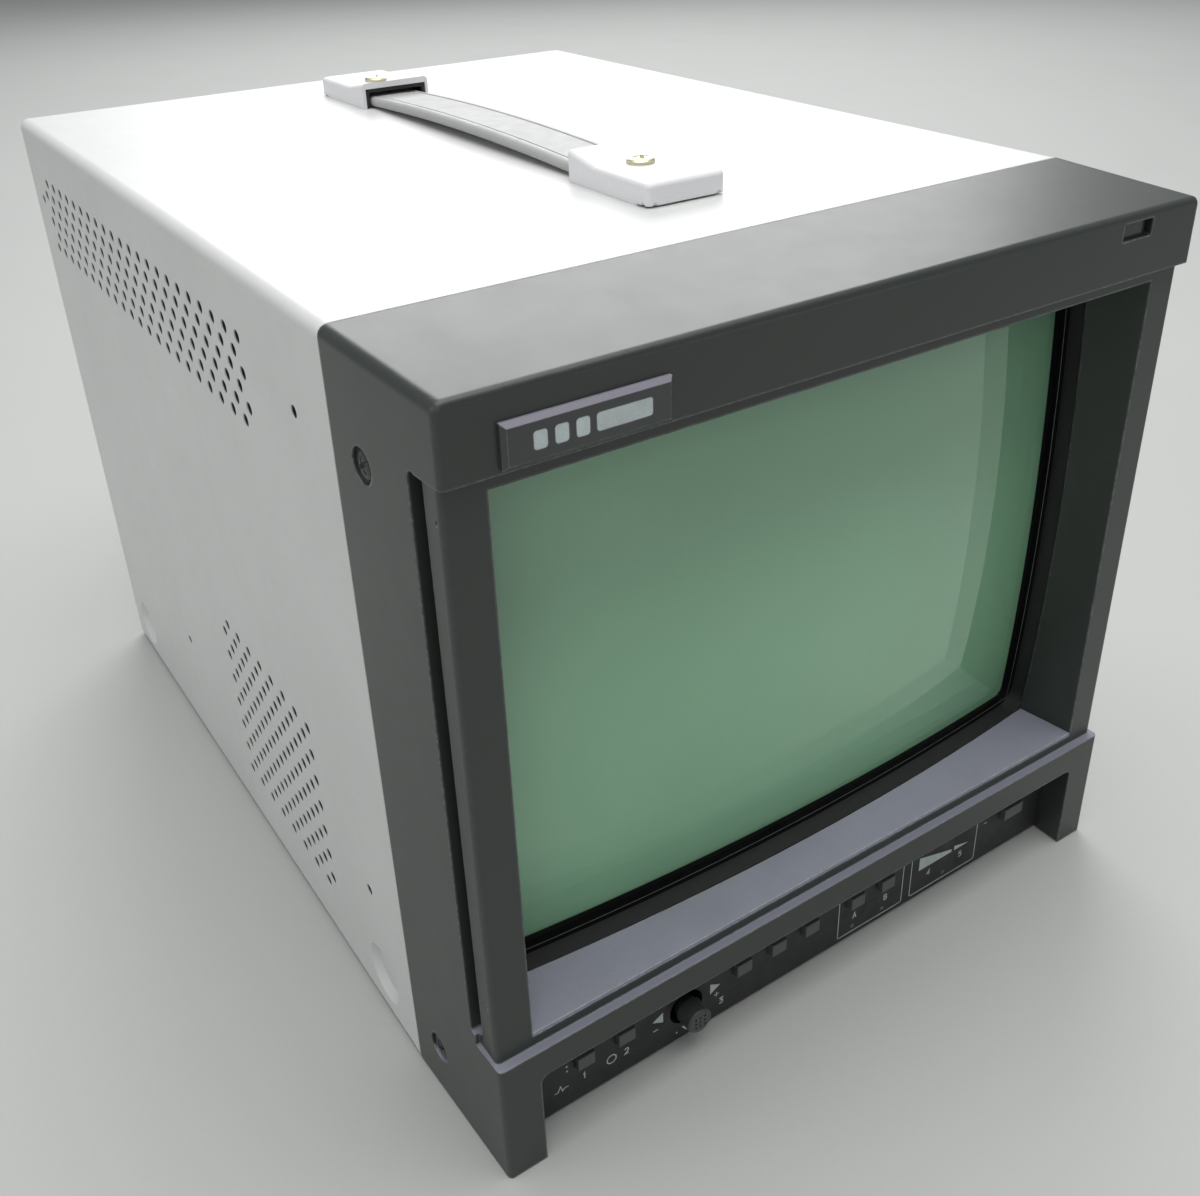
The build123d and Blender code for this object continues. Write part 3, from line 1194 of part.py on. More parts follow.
ANODE_TOP = TUBE_HEIGHT + 84.0
with BuildPart() as anode_lead:
    with BuildLine():
        FilletPolyline(
            (12.6, back(ANODE_DEPTH), up(ANODE_TOP - 10)),
            (40.0, back(ANODE_DEPTH + 3), up(ANODE_TOP - 12)),
            (74.0, back(112.0), up(168.0)),
            (82.0, back(150.0), up(120.0)),
            (70.0, back(190.0), up(84.0)),
            (56.0, back(200.0), up(82.0)),
            (56.0, back(200.0), up(68.0)),
            radius=5.0,
        )
    with BuildSketch(Plane(origin=(12.6, back(ANODE_DEPTH), up(ANODE_TOP - 10)), z_dir=(27.4, 3.0, -2.0))):
        Circle(2.0)
    sweep()
save(anode_lead, "anode_lead")
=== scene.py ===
import bmesh
import bpy
import json
import math
from mathutils import Matrix, Vector

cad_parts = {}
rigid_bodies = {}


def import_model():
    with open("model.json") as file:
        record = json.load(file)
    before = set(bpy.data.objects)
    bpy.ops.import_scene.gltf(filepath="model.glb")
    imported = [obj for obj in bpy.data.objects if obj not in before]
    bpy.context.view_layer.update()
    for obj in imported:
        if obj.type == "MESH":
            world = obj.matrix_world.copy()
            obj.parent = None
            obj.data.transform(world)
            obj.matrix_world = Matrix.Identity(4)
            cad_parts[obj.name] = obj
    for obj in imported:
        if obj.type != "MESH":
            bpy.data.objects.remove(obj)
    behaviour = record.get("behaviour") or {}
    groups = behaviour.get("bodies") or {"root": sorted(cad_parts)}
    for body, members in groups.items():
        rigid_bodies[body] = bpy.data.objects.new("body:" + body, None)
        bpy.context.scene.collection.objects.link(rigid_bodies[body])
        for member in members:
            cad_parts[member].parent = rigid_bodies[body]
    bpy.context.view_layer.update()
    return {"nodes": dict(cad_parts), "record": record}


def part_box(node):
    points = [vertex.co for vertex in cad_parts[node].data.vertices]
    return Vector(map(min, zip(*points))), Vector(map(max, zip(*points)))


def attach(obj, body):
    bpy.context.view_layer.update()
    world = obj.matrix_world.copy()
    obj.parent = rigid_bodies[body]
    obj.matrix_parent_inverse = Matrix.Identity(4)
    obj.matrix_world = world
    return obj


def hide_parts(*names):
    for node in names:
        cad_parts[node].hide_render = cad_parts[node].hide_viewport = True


# Portable video monitor. Metres, +Z up, +Y from the screen to the rear, +X to the viewer's right.

for leftover in list(bpy.data.objects):
    bpy.data.objects.remove(leftover)

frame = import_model()
MM = 0.001
FRONT_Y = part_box("front_bezel")[0].y       # face of the header
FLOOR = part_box("rubber_feet")[0].z
BASE = FLOOR + 1.2 * MM                    # underside of the cabinet
HEIGHT = 209.5                             # of the cabinet, in mm
TOP = BASE + HEIGHT * MM

# planes within the cabinet's sheet, in millimetres: faces inside them get a near-black painted shade
INSIDE_X = 109.1                           # each side, from the middle
INSIDE_TOP = 0.9                           # below the top
INSIDE_REAR = 293.5                        # within the rear panel
VENT_WALL = 109.75                         # just under the outer face of each side
TOP_FOLD = 6                               # the rounded edges of the top end above this
DIMPLES = [(64.7, 14.0), (288.0, 13.0)]    # depth and height of the dimples pressed in each side
DIMPLE_REACH = (9.2, 9.4)                  # the painted shade stays this far from a dimple's middle

# the picture, in millimetres
PICTURE_HALF_WIDTH = 93.2
PICTURE_HALF_HEIGHT = 71.2
PICTURE_MIDDLE = 115.4                     # above the cabinet's underside


def at(x, depth, height):
    """A point in metres, from millimetres across, behind the header and above the cabinet's underside."""
    return Vector((x * MM, FRONT_Y + depth * MM, BASE + height * MM))


# ------------------------------------------------------------------ materials
class Graph:
    """A material's nodes, with short ways to add and join them."""

    def __init__(self, name):
        self.material = bpy.data.materials.new(name)
        self.material.use_nodes = True
        self.tree = self.material.node_tree
        self.shader = self.tree.nodes["Principled BSDF"]
        self.place = self.node("ShaderNodeTexCoord").outputs["Object"]

    def node(self, kind, **settings):
        made = self.tree.nodes.new(kind)
        for key, value in settings.items():
            setattr(made, key, value)
        return made

    def join(self, source, target):
        self.tree.links.new(source, target)

    def value(self, kind, *inputs, **settings):
        """A Math node. Inputs are numbers or sockets."""
        made = self.node("ShaderNodeMath", operation=kind, **settings)
        for index, item in enumerate(inputs):
            if isinstance(item, (int, float)):
                made.inputs[index].default_value = item
            else:
                self.join(item, made.inputs[index])
        return made.outputs[0]

    def axis(self, name):
        """One of the object's own coordinates, in metres."""
        split = self.node("ShaderNodeSeparateXYZ")
        self.join(self.place, split.inputs["Vector"])
        return split.outputs[name]

    def noise(self, size, detail=3.0, roughness=0.5, place=None):
        made = self.node("ShaderNodeTexNoise")
        made.inputs["Scale"].default_value = 1.0 / size
        made.inputs["Detail"].default_value = detail
        made.inputs["Roughness"].default_value = roughness
        self.join(place or self.place, made.inputs["Vector"])
        return made.outputs["Fac"]

    def stretch(self, scale):
        """The object's coordinates, scaled by axis."""
        made = self.node("ShaderNodeMapping")
        made.inputs["Scale"].default_value = scale
        self.join(self.place, made.inputs["Vector"])
        return made.outputs["Vector"]

    def range(self, source, low, high, out_low=0.0, out_high=1.0, smooth=False):
        made = self.node("ShaderNodeMapRange")
        if smooth:
            made.interpolation_type = "SMOOTHSTEP"
        limits = {"From Min": low, "From Max": high, "To Min": out_low, "To Max": out_high}
        for name, number in limits.items():
            made.inputs[name].default_value = number
        self.join(source, made.inputs["Value"])
        return made.outputs["Result"]

    def ramp(self, source, stops):
        made = self.node("ShaderNodeValToRGB")
        elements = made.color_ramp.elements
        while len(elements) < len(stops):
            elements.new(0.5)
        for element, (position, colour) in zip(elements, stops):
            element.position = position
            element.color = (*colour, 1.0)
        self.join(source, made.inputs["Fac"])
        return made.outputs["Color"]

    def mix(self, factor, first, second, blend="MIX"):
        """Mix of two colours, each a triple or a socket."""
        made = self.node("ShaderNodeMix", data_type="RGBA", blend_type=blend)
        if isinstance(factor, (int, float)):
            made.inputs["Factor"].default_value = factor
        else:
            self.join(factor, made.inputs["Factor"])
        for socket, item in ((made.inputs[6], first), (made.inputs[7], second)):
            if isinstance(item, tuple):
                socket.default_value = (*item, 1.0)
            else:
                self.join(item, socket)
        return made.outputs[2]

    def bump(self, source, distance, strength=1.0, before=None):
        made = self.node("ShaderNodeBump")
        made.inputs["Distance"].default_value = distance
        made.inputs["Strength"].default_value = strength
        self.join(source, made.inputs["Height"])
        if before is not None:
            self.join(before, made.inputs["Normal"])
        return made.outputs["Normal"]

    def edges(self, radius):
        """1 on sharp edges and 0 on flats, from how a rounded normal leans away from the true one.

        Gives the rounded normal too."""
        bevel = self.node("ShaderNodeBevel", samples=4)
        bevel.inputs["Radius"].default_value = radius
        true = self.node("ShaderNodeNewGeometry")
        dot = self.node("ShaderNodeVectorMath", operation="DOT_PRODUCT")
        self.join(bevel.outputs["Normal"], dot.inputs[0])
        self.join(true.outputs["Normal"], dot.inputs[1])
        return self.range(dot.outputs["Value"], 0.995, 0.8), bevel.outputs["Normal"]

    def set(self, name, item):
        """Sets one of the shader's inputs to a number, a colour or a socket."""
        socket = self.shader.inputs[name]
        if isinstance(item, (int, float)):
            socket.default_value = item
        elif isinstance(item, tuple):
            socket.default_value = (*item, 1.0)
        else:
            self.join(item, socket)


def scaled(colour, factor):
    return tuple(min(1.0, c * factor) for c in colour)


def distance_from(g, axis, middle):
    """How far the surface is from a plane across one axis, in metres."""
    return g.value("ABSOLUTE", g.value("SUBTRACT", g.axis(axis), middle))


def inner_painted_shade(g):
    """Where the painted shade goes: 1 on the cabinet's inner faces and on the walls of its vents, 0 on its
    outer paint.
    """
    depth_in = g.value("SUBTRACT", INSIDE_X * MM, g.value("ABSOLUTE", g.axis("X")))
    below_top = g.value("SUBTRACT", TOP - INSIDE_TOP * MM, g.axis("Z"))
    before_rear = g.value("SUBTRACT", FRONT_Y + INSIDE_REAR * MM, g.axis("Y"))
    nearest = g.value("MINIMUM", g.value("MINIMUM", depth_in, below_top), before_rear)
    # a vent's wall lies under the outer face and below the fold
    vent_wall = g.value("SUBTRACT", VENT_WALL * MM, g.value("ABSOLUTE", g.axis("X")))
    below_fold = g.value("SUBTRACT", TOP - TOP_FOLD * MM, g.axis("Z"))
    buried = g.value("MAXIMUM", nearest, g.value("MINIMUM", vent_wall, below_fold))
    share = g.range(buried, 0.0, 0.1 * MM)
    # the pressed dimples are left without the painted shade
    for depth, height in DIMPLES:
        along = distance_from(g, "Y", FRONT_Y + depth * MM)
        high = distance_from(g, "Z", BASE + height * MM)
        clear = g.range(g.value("MAXIMUM", along, high), DIMPLE_REACH[0] * MM, DIMPLE_REACH[1] * MM)
        share = g.value("MULTIPLY", share, clear)
    return share


def surface(name, colour, rough, metal=0.0, grain=0.5, depth=0.01, drift=0.05, drift_size=40.0,
            spread=0.06, wear_and_highlight=None, wear_and_highlight_radius=0.8, coat=0.0, inside=None, painted_sheen=None, painted_sheen_below=1.0):
    """A painted, moulded or plated finish. Sizes are in millimetres.

    grain and depth are the fine texture's pitch and height, drift is how far the colour wanders over
    drift_size, spread is how uneven the gloss is and wear is the colour that shows on edges, partly
    scuffed paint and partly a painted highlight. inside is a near-black painted shade on the cabinet's
    inner faces and its vents' walls. upper is a painted sheen, the colour of faces that look up, as far
    up as the height painted_sheen_below, in metres."""
    g = Graph(name)
    slow = g.noise(drift_size * MM, 4.0)
    base = g.ramp(slow, [(0.25, scaled(colour, 1 - drift)), (0.75, scaled(colour, 1 + drift))])
    fine = g.noise(grain * MM, 2.0, 0.6)
    speck = g.range(fine, 0.3, 0.7, 1 - drift, 1 + 0.6 * drift)
    tone = g.node("ShaderNodeCombineColor")
    for channel in ("Red", "Green", "Blue"):
        g.join(speck, tone.inputs[channel])
    base = g.mix(1.0, base, tone.outputs["Color"], "MULTIPLY")
    gloss = g.range(g.noise(drift_size * 0.2 * MM, 5.0, 0.6), 0.3, 0.7, rough - spread, rough + spread)
    # painted sheen: faces that look up, below the height painted_sheen_below, take the colour upper
    if painted_sheen:
        leaning = g.node("ShaderNodeSeparateXYZ")
        g.join(g.node("ShaderNodeNewGeometry").outputs["Normal"], leaning.inputs["Vector"])
        looks_up = g.range(leaning.outputs["Z"], 0.5, 0.8)
        low_down = g.value("LESS_THAN", g.axis("Z"), painted_sheen_below)
        base = g.mix(g.value("MULTIPLY", looks_up, low_down), base, painted_sheen)
    before = None
    # edges take the colour wear: partly scuffed paint, and on the bezel and apron partly a painted
    # highlight
    if wear_and_highlight:
        edge_share, before = g.edges(wear_and_highlight_radius * MM)
        broken = g.range(g.noise(1.6 * MM, 5.0, 0.7), 0.42, 0.6)
        wear_and_highlight_share = g.value("MULTIPLY", edge_share, g.range(broken, 0.0, 1.0, 0.35, 1.0))
        base = g.mix(wear_and_highlight_share, base, wear_and_highlight)
    # painted shade: the cabinet's inner faces and vent walls take the near-black colour inside
    if inside:
        base = g.mix(inner_painted_shade(g), base, inside)
    g.set("Base Color", base)
    g.set("Roughness", gloss)
    g.set("Metallic", metal)
    g.set("Specular IOR Level", 0.5)
    if coat:
        g.set("Coat Weight", coat)
        g.set("Coat Roughness", 0.25)
    g.set("Normal", g.bump(fine, depth * MM, 0.8, before))
    return g.material


def glass_material():
    """Green-grey faceplate glass: polished, faintly uneven, and painted black behind its border."""
    g = Graph("faceplate_glass")
    smoke = g.noise(60 * MM, 2.0)
    # clear over the picture, black paint behind the rest
    past_side = g.value("SUBTRACT", g.value("ABSOLUTE", g.axis("X")), PICTURE_HALF_WIDTH * MM)
    from_middle = distance_from(g, "Z", BASE + PICTURE_MIDDLE * MM)
    past_end = g.value("SUBTRACT", from_middle, PICTURE_HALF_HEIGHT * MM)
    over = g.value("MAXIMUM", past_side, past_end)
    clear = g.range(over, -0.3 * MM, 0.0, 1.0, 0.0)
    tint = g.ramp(smoke, [(0.3, (0.80, 0.91, 0.83)), (0.7, (0.83, 0.94, 0.86))])
    g.set("Base Color", g.mix(clear, (0.006, 0.007, 0.006), tint))
    g.set("Roughness", g.range(g.noise(25 * MM, 3.0), 0.3, 0.7, 0.012, 0.03))
    g.set("Transmission Weight", clear)
    g.set("IOR", 1.52)
    g.set("Specular IOR Level", 0.12)
    g.set("Normal", g.bump(g.noise(30 * MM, 1.0), 0.002 * MM, 0.4))
    # lamps reach the phosphor straight through the clear part
    lit = g.node("ShaderNodeMixShader")
    shadow = g.node("ShaderNodeLightPath").outputs["Is Shadow Ray"]
    g.join(g.value("MULTIPLY", shadow, clear), lit.inputs[0])
    open_side = g.node("ShaderNodeBsdfTransparent")
    open_side.inputs["Color"].default_value = (0.82, 0.93, 0.85, 1.0)
    g.join(g.shader.outputs["BSDF"], lit.inputs[1])
    g.join(open_side.outputs["BSDF"], lit.inputs[2])
    g.join(lit.outputs["Shader"], g.tree.nodes["Material Output"].inputs["Surface"])
    return g.material


def phosphor_material():
    """Pale powder in fine rows of dots, a little darker between them."""
    g = Graph("phosphor_dots")
    pitch = 0.75 * MM
    row = g.value("DIVIDE", g.axis("Z"), pitch * 0.5)
    odd = g.value("MULTIPLY", g.value("MODULO", g.value("FLOOR", row), 2.0), 0.5)
    across = g.value("ADD", g.value("DIVIDE", g.axis("X"), pitch), odd)
    dx = g.value("SUBTRACT", g.value("FRACT", across), 0.5)
    dz = g.value("MULTIPLY", g.value("SUBTRACT", g.value("FRACT", row), 0.5), 0.5)
    radius = g.value("SQRT", g.value("ADD", g.value("MULTIPLY", dx, dx), g.value("MULTIPLY", dz, dz)))
    dot = g.range(radius, 0.18, 0.34, 1.0, 0.0, smooth=True)
    tone = g.noise(70 * MM, 3.0)
    pale = g.ramp(tone, [(0.3, (0.41, 0.61, 0.46)), (0.7, (0.43, 0.64, 0.48))])
    dark = g.ramp(tone, [(0.3, (0.40, 0.595, 0.45)), (0.7, (0.42, 0.625, 0.47))])
    g.set("Base Color", g.mix(dot, dark, pale))
    g.set("Roughness", g.range(g.noise(2 * MM, 2.0), 0.3, 0.7, 0.75, 0.9))
    g.set("Normal", g.bump(g.noise(12 * MM, 2.0), 0.01 * MM, 0.3))
    return g.material


def vinyl_material(name, colour):
    """Soft vinyl with a fine pebbled grain."""
    g = Graph(name)
    cells = g.node("ShaderNodeTexVoronoi", feature="DISTANCE_TO_EDGE")
    cells.inputs["Scale"].default_value = 1 / (0.7 * MM)
    g.join(g.place, cells.inputs["Vector"])
    pebble = g.range(cells.outputs["Distance"], 0.0, 0.25)
    drift = g.noise(14 * MM, 5.0, 0.6)
    base = g.ramp(drift, [(0.3, scaled(colour, 0.92)), (0.7, scaled(colour, 1.04))])
    base = g.mix(g.range(pebble, 0.0, 1.0, 0.14, 0.0), base, scaled(colour, 0.55))
    g.set("Base Color", base)
    g.set("Roughness", g.range(g.noise(5 * MM, 4.0), 0.3, 0.7, 0.42, 0.58))
    g.set("Sheen Weight", 0.08)
    g.set("Normal", g.bump(pebble, 0.03 * MM, 0.6))
    return g.material


def brushed_material(name, colour, rough, turned=False):
    """Bare or plated metal with fine lines from rolling or turning."""
    g = Graph(name)
    along = (1.0, 1.0, 0.1) if turned else (1.0, 0.04, 1.0)
    lines = g.noise(0.35 * MM, 3.0, 0.6, g.stretch(along))
    drift = g.noise(9 * MM, 4.0)
    base = g.ramp(drift, [(0.25, scaled(colour, 0.82)), (0.75, scaled(colour, 1.08))])
    g.set("Base Color", base)
    g.set("Metallic", 1.0)
    g.set("Roughness", g.range(lines, 0.3, 0.7, rough - 0.08, rough + 0.1))
    g.set("Normal", g.bump(lines, 0.01 * MM, 0.5))
    return g.material


def board_material(name):
    """Green circuit board with paler tracks."""
    g = Graph(name)
    cells = g.node("ShaderNodeTexVoronoi", feature="F1", distance="MANHATTAN")
    cells.inputs["Scale"].default_value = 1 / (7 * MM)
    g.join(g.place, cells.inputs["Vector"])
    tracks = g.range(g.value("FRACT", g.value("MULTIPLY", cells.outputs["Distance"], 5.0)), 0.44, 0.5)
    base = g.mix(tracks, (0.02, 0.11, 0.04), (0.05, 0.2, 0.07))
    g.set("Base Color", g.mix(g.range(g.noise(30 * MM), 0.4, 0.7, 0.0, 0.3), base, (0.03, 0.08, 0.03)))
    g.set("Roughness", g.range(tracks, 0.0, 1.0, 0.35, 0.5))
    g.set("Normal", g.bump(tracks, 0.03 * MM, 0.6))
    return g.material


def winding_material(name, colour, pitch):
    """Close turns of wire or tape. A larger pitch in millimetres gives wider turns."""
    g = Graph(name)
    wave = g.node("ShaderNodeTexWave", wave_type="RINGS", rings_direction="Y")
    wave.inputs["Scale"].default_value = 1 / (pitch * MM) / 6.3
    wave.inputs["Distortion"].default_value = 1.5
    wave.inputs["Detail Scale"].default_value = 2.0
    g.join(g.place, wave.inputs["Vector"])
    base = g.mix(g.range(wave.outputs["Fac"], 0.0, 1.0, 0.0, 0.7), colour, scaled(colour, 0.4))
    g.set("Base Color", base)
    g.set("Roughness", g.range(g.noise(6 * MM), 0.3, 0.7, 0.3, 0.5))
    g.set("Normal", g.bump(wave.outputs["Fac"], 0.15 * MM, 0.6))
    return g.material


def panel_material():
    """Matt black panel sheet with a faint film of dust."""
    g = Graph("panel_sheet")
    fine = g.noise(0.4 * MM, 2.0, 0.7)
    dust = g.range(g.noise(11 * MM, 6.0, 0.7), 0.5, 0.85, 0.0, 0.35)
    base = g.mix(dust, (0.014, 0.016, 0.014), (0.045, 0.048, 0.042))
    specks = g.range(g.noise(0.9 * MM, 1.0), 0.74, 0.78)
    base = g.mix(g.value("MULTIPLY", specks, 0.35), base, (0.3, 0.3, 0.27))
    g.set("Base Color", base)
    g.set("Roughness", g.range(g.noise(8 * MM, 4.0), 0.3, 0.7, 0.42, 0.6))
    g.set("Normal", g.bump(fine, 0.012 * MM, 0.7))
    return g.material


CABINET = (0.60, 0.605, 0.595)
BEZEL = (0.030, 0.036, 0.031)
looks = {
    # the cabinet's inner faces and vent walls get a near-black painted shade
    "cabinet_paint": surface("cabinet_paint_satin", CABINET, 0.42, grain=0.45, depth=0.014, drift=0.03,
                             spread=0.05, wear_and_highlight=(0.7, 0.7, 0.68), wear_and_highlight_radius=0.6,
                             inside=(0.03, 0.03, 0.03)),
    # the bezel's up-facing faces low down, its lip, get a pale slate painted sheen; its bright edges are
    # partly scuffed paint and partly a painted highlight
    "bezel_plastic": surface("bezel_charcoal", BEZEL, 0.36, grain=0.3, depth=0.012, drift=0.03,
                             drift_size=60, spread=0.018, wear_and_highlight=(0.30, 0.305, 0.33), wear_and_highlight_radius=0.9,
                             painted_sheen=(0.22, 0.225, 0.275), painted_sheen_below=BASE + 60 * MM),
    "panel_black": panel_material(),
    # the apron's slate colour is much paler than its dark charcoal: painted light from above; its bright
    # edges are partly scuffed paint and partly a painted highlight
    "apron_paint": surface("apron_slate_painted_light", (0.27, 0.275, 0.33), 0.42, grain=0.35, depth=0.02, drift=0.08,
                           drift_size=25, wear_and_highlight=(0.62, 0.63, 0.68), wear_and_highlight_radius=0.5),
    # the badge's top face gets a painted sheen
    "badge_grey": surface("badge_face", (0.045, 0.05, 0.049), 0.36, grain=0.3, depth=0.008,
                          wear_and_highlight=(0.34, 0.32, 0.38), wear_and_highlight_radius=0.35, painted_sheen=(0.27, 0.255, 0.31)),
    "tally_lens": surface("tally_smoked", (0.03, 0.034, 0.03), 0.16, grain=1.2, depth=0.003, spread=0.03),
    "button_grey": surface("button_moulded", (0.085, 0.092, 0.085), 0.4, grain=0.3, depth=0.01,
                           wear_and_highlight=(0.2, 0.21, 0.2), wear_and_highlight_radius=0.3),
    "knob_black": surface("knob_moulded", (0.018, 0.019, 0.018), 0.42, grain=0.3, depth=0.012),
    "knob_cap": surface("knob_cap_moulded", (0.05, 0.056, 0.052), 0.45, grain=0.6, depth=0.05, drift=0.1),
    "led_lens": surface("led_moulded", (0.06, 0.1, 0.05), 0.2, grain=0.4, depth=0.004, coat=0.5),
    "glass_clear": glass_material(),
    "phosphor": phosphor_material(),
    "mask_steel": brushed_material("mask_sheet", (0.2, 0.2, 0.2), 0.5),
    "funnel_glass": surface("funnel_graphite", (0.022, 0.022, 0.024), 0.5, grain=0.8, depth=0.02,
                            drift=0.2),
    "steel_plain": brushed_material("zinc_sheet", (0.52, 0.52, 0.5), 0.36),
    "screw_black": surface("screw_oxide", (0.03, 0.03, 0.03), 0.35, metal=0.6, grain=0.5, depth=0.01,
                           wear_and_highlight=(0.3, 0.3, 0.3), wear_and_highlight_radius=0.25),
    "screw_zinc": surface("screw_yellow_zinc", (0.62, 0.60, 0.42), 0.42, metal=1.0, grain=0.4, depth=0.008,
                          drift=0.15, drift_size=4),
    "rubber_black": surface("rubber_moulded", (0.016, 0.016, 0.016), 0.65, grain=0.5, depth=0.02),
    "ferrite": surface("ferrite_sintered", (0.05, 0.05, 0.052), 0.6, grain=0.9, depth=0.03, drift=0.15),
    "copper_wire": winding_material("copper_winding", (0.32, 0.11, 0.04), 0.5),
    "moulded_cream": surface("moulded_cream", (0.55, 0.52, 0.42), 0.45, grain=0.7, depth=0.01, drift=0.06),
    "board_green": board_material("circuit_board"),
    "part_black": surface("moulded_black", (0.02, 0.02, 0.02), 0.34, grain=0.5, depth=0.012, drift=0.15),
    "heat_alloy": brushed_material("extruded_alloy", (0.55, 0.56, 0.57), 0.4),
    "can_blue": surface("can_sleeve", (0.03, 0.045, 0.11), 0.28, grain=1.5, depth=0.01, drift=0.1),
    "paper_cone": surface("pressed_paper", (0.05, 0.045, 0.04), 0.85, grain=0.6, depth=0.05, drift=0.2),
    "strap_vinyl": vinyl_material("strap_vinyl_pebbled", (0.40, 0.405, 0.395)),
    "cap_paint": surface("cap_paint_chipped", (0.74, 0.735, 0.75), 0.34, grain=0.5, depth=0.012, drift=0.03,
                         wear_and_highlight=(0.30, 0.29, 0.27), wear_and_highlight_radius=0.25),
    "socket_nickel": brushed_material("nickel_turned", (0.62, 0.60, 0.56), 0.24, turned=True),
    "tape_black": winding_material("wound_tape", (0.025, 0.025, 0.025), 3.0),
}
for entry in frame["record"]["subparts"]:
    mesh = frame["nodes"][entry["node"]].data
    mesh.materials.clear()
    mesh.materials.append(looks[entry["material_slot"]])

# the speaker's frame is blackened, unlike the other plain steel
blackened = surface("speaker_frame_black", (0.018, 0.018, 0.018), 0.6, drift=0.15)
frame["nodes"]["speaker_frame"].data.materials[0] = blackened


# ------------------------------------------------------------------ pieces
def piece(name, mesh, body, slot, look=None, stands_for=(), smooth=True):
    """Makes a finished mesh a piece of the monitor that moves with one of its bodies."""
    data = bpy.data.meshes.new(name)
    mesh.to_mesh(data)
    mesh.free()
    if smooth:
        data.polygons.foreach_set("use_smooth", [True] * len(data.polygons))
        data.update()
    obj = bpy.data.objects.new(name, data)
    bpy.context.scene.collection.objects.link(obj)
    data.materials.append(look or looks[slot])
    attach(obj, body)
    if stands_for:
        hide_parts(*stands_for)
    return obj


def sharpen(obj, angle):
    """Splits smooth shading at edges sharper than angle, in degrees."""
    bm = bmesh.new()
    bm.from_mesh(obj.data)
    for edge in bm.edges:
        if len(edge.link_faces) == 2 and edge.calc_face_angle(0) > math.radians(angle):
            edge.smooth = False
    bm.to_mesh(obj.data)
    bm.free()


def ring_loft(bm, rings):
    """Joins equal rings of points into a tube, with flat ends."""
    rows = [[bm.verts.new(point) for point in ring] for ring in rings]
    count = len(rows[0])
    for a, b in zip(rows, rows[1:]):
        for i in range(count):
            bm.faces.new((a[i], a[(i + 1) % count], b[(i + 1) % count], b[i]))
    bm.faces.new(list(reversed(rows[0])))
    bm.faces.new(rows[-1])
    bmesh.ops.recalc_face_normals(bm, faces=bm.faces)


def screw_head(bm, centre, axis, up, radius, height, dome, recess, slot_width, recess_depth):
    """Pan head with a tapered cross recess. axis points out of the head, up is along one slot."""
    out = Vector(axis).normalized()
    v = Vector(up).normalized()
    u = v.cross(out)
    turns = 96
    bands = 22
    # the dome drops a little more over the last part of the radius
    rim_start = 0.86
    rim_drop = 0.35 * dome
    circles = []
    for step in range(bands + 1):
        share = step / bands
        r = radius * share
        ring = []
        for i in range(turns):
            angle = 2 * math.pi * i / turns
            x = r * math.cos(angle)
            y = r * math.sin(angle)
            z = height + dome * (1 - share ** 2) - rim_drop * max(0.0, share - rim_start) / (1 - rim_start)
            reach = max(abs(x), abs(y))
            side = min(abs(x), abs(y))
            inside = min(1.0, max(0.0, (recess - reach) / (0.12 * radius)))
            inside *= min(1.0, max(0.0, (slot_width / 2 - side) / (0.05 * radius) + 0.5))
            z -= recess_depth * inside * (1 - 0.35 * reach / recess)
            ring.append(centre + u * x + v * y + out * z)
        circles.append(ring)
    middle = bm.verts.new(circles[0][0])
    rows = [[bm.verts.new(p) for p in ring] for ring in circles[1:]]
    for i in range(turns):
        bm.faces.new((middle, rows[0][i], rows[0][(i + 1) % turns]))
    for a, b in zip(rows, rows[1:]):
        for i in range(turns):
            bm.faces.new((a[i], b[i], b[(i + 1) % turns], a[(i + 1) % turns]))
    foot = []
    for i in range(turns):
        angle = 2 * math.pi * i / turns
        foot.append(bm.verts.new(centre + u * radius * math.cos(angle) + v * radius * math.sin(angle)))
    last = rows[-1]
    for i in range(turns):
        bm.faces.new((last[i], foot[i], foot[(i + 1) % turns], last[(i + 1) % turns]))
    bm.faces.new(list(reversed(foot)))
    bmesh.ops.recalc_face_normals(bm, faces=bm.faces)


def shank(bm, ends, across, along, radius):
    """Plain cylinder between two points, under a screw's head. Its radius is in millimetres."""
    rings = []
    for end in ends:
        turns = [a * math.pi / 16 for a in range(32)]
        rings.append([end + radius * MM * (across * math.cos(t) + along * math.sin(t)) for t in turns])
    ring_loft(bm, rings)


def arc(cx, cz, r, start, end, steps=6):
    """Points along an arc, with its angles in degrees."""
    angles = [math.radians(start + (end - start) * i / steps) for i in range(steps + 1)]
    return [(cx + r * math.cos(angle), cz + r * math.sin(angle)) for angle in angles]


AXIS_X = Vector((1, 0, 0))
AXIS_Y = Vector((0, 1, 0))
AXIS_Z = Vector((0, 0, 1))

# carrying strap: beaded edges, a flat panel between them, and a slot at each screw, in millimetres
STRAP_X = 1.5                 # middle of the strap, right of the cabinet's middle
STRAP_HALF = 9.5              # half its width
STRAP_THICK = 3.4
STRAP_RISE = 1.8              # how much the middle arches up
STRAP_ENDS = (82.0, 270.5)    # depths of its ends
STRAP_SPAN = (108.0, 242.0)   # depths between which it arches
STRAP_STEPS = 96
SLOT_RADIUS = 3.4
SLOT_HALF_RUN = 3.1           # half the distance between the centres of a slot's round ends
SCREW_DEPTHS = (93.5, 256.5)
strap_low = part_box("handle_strap")[0].z


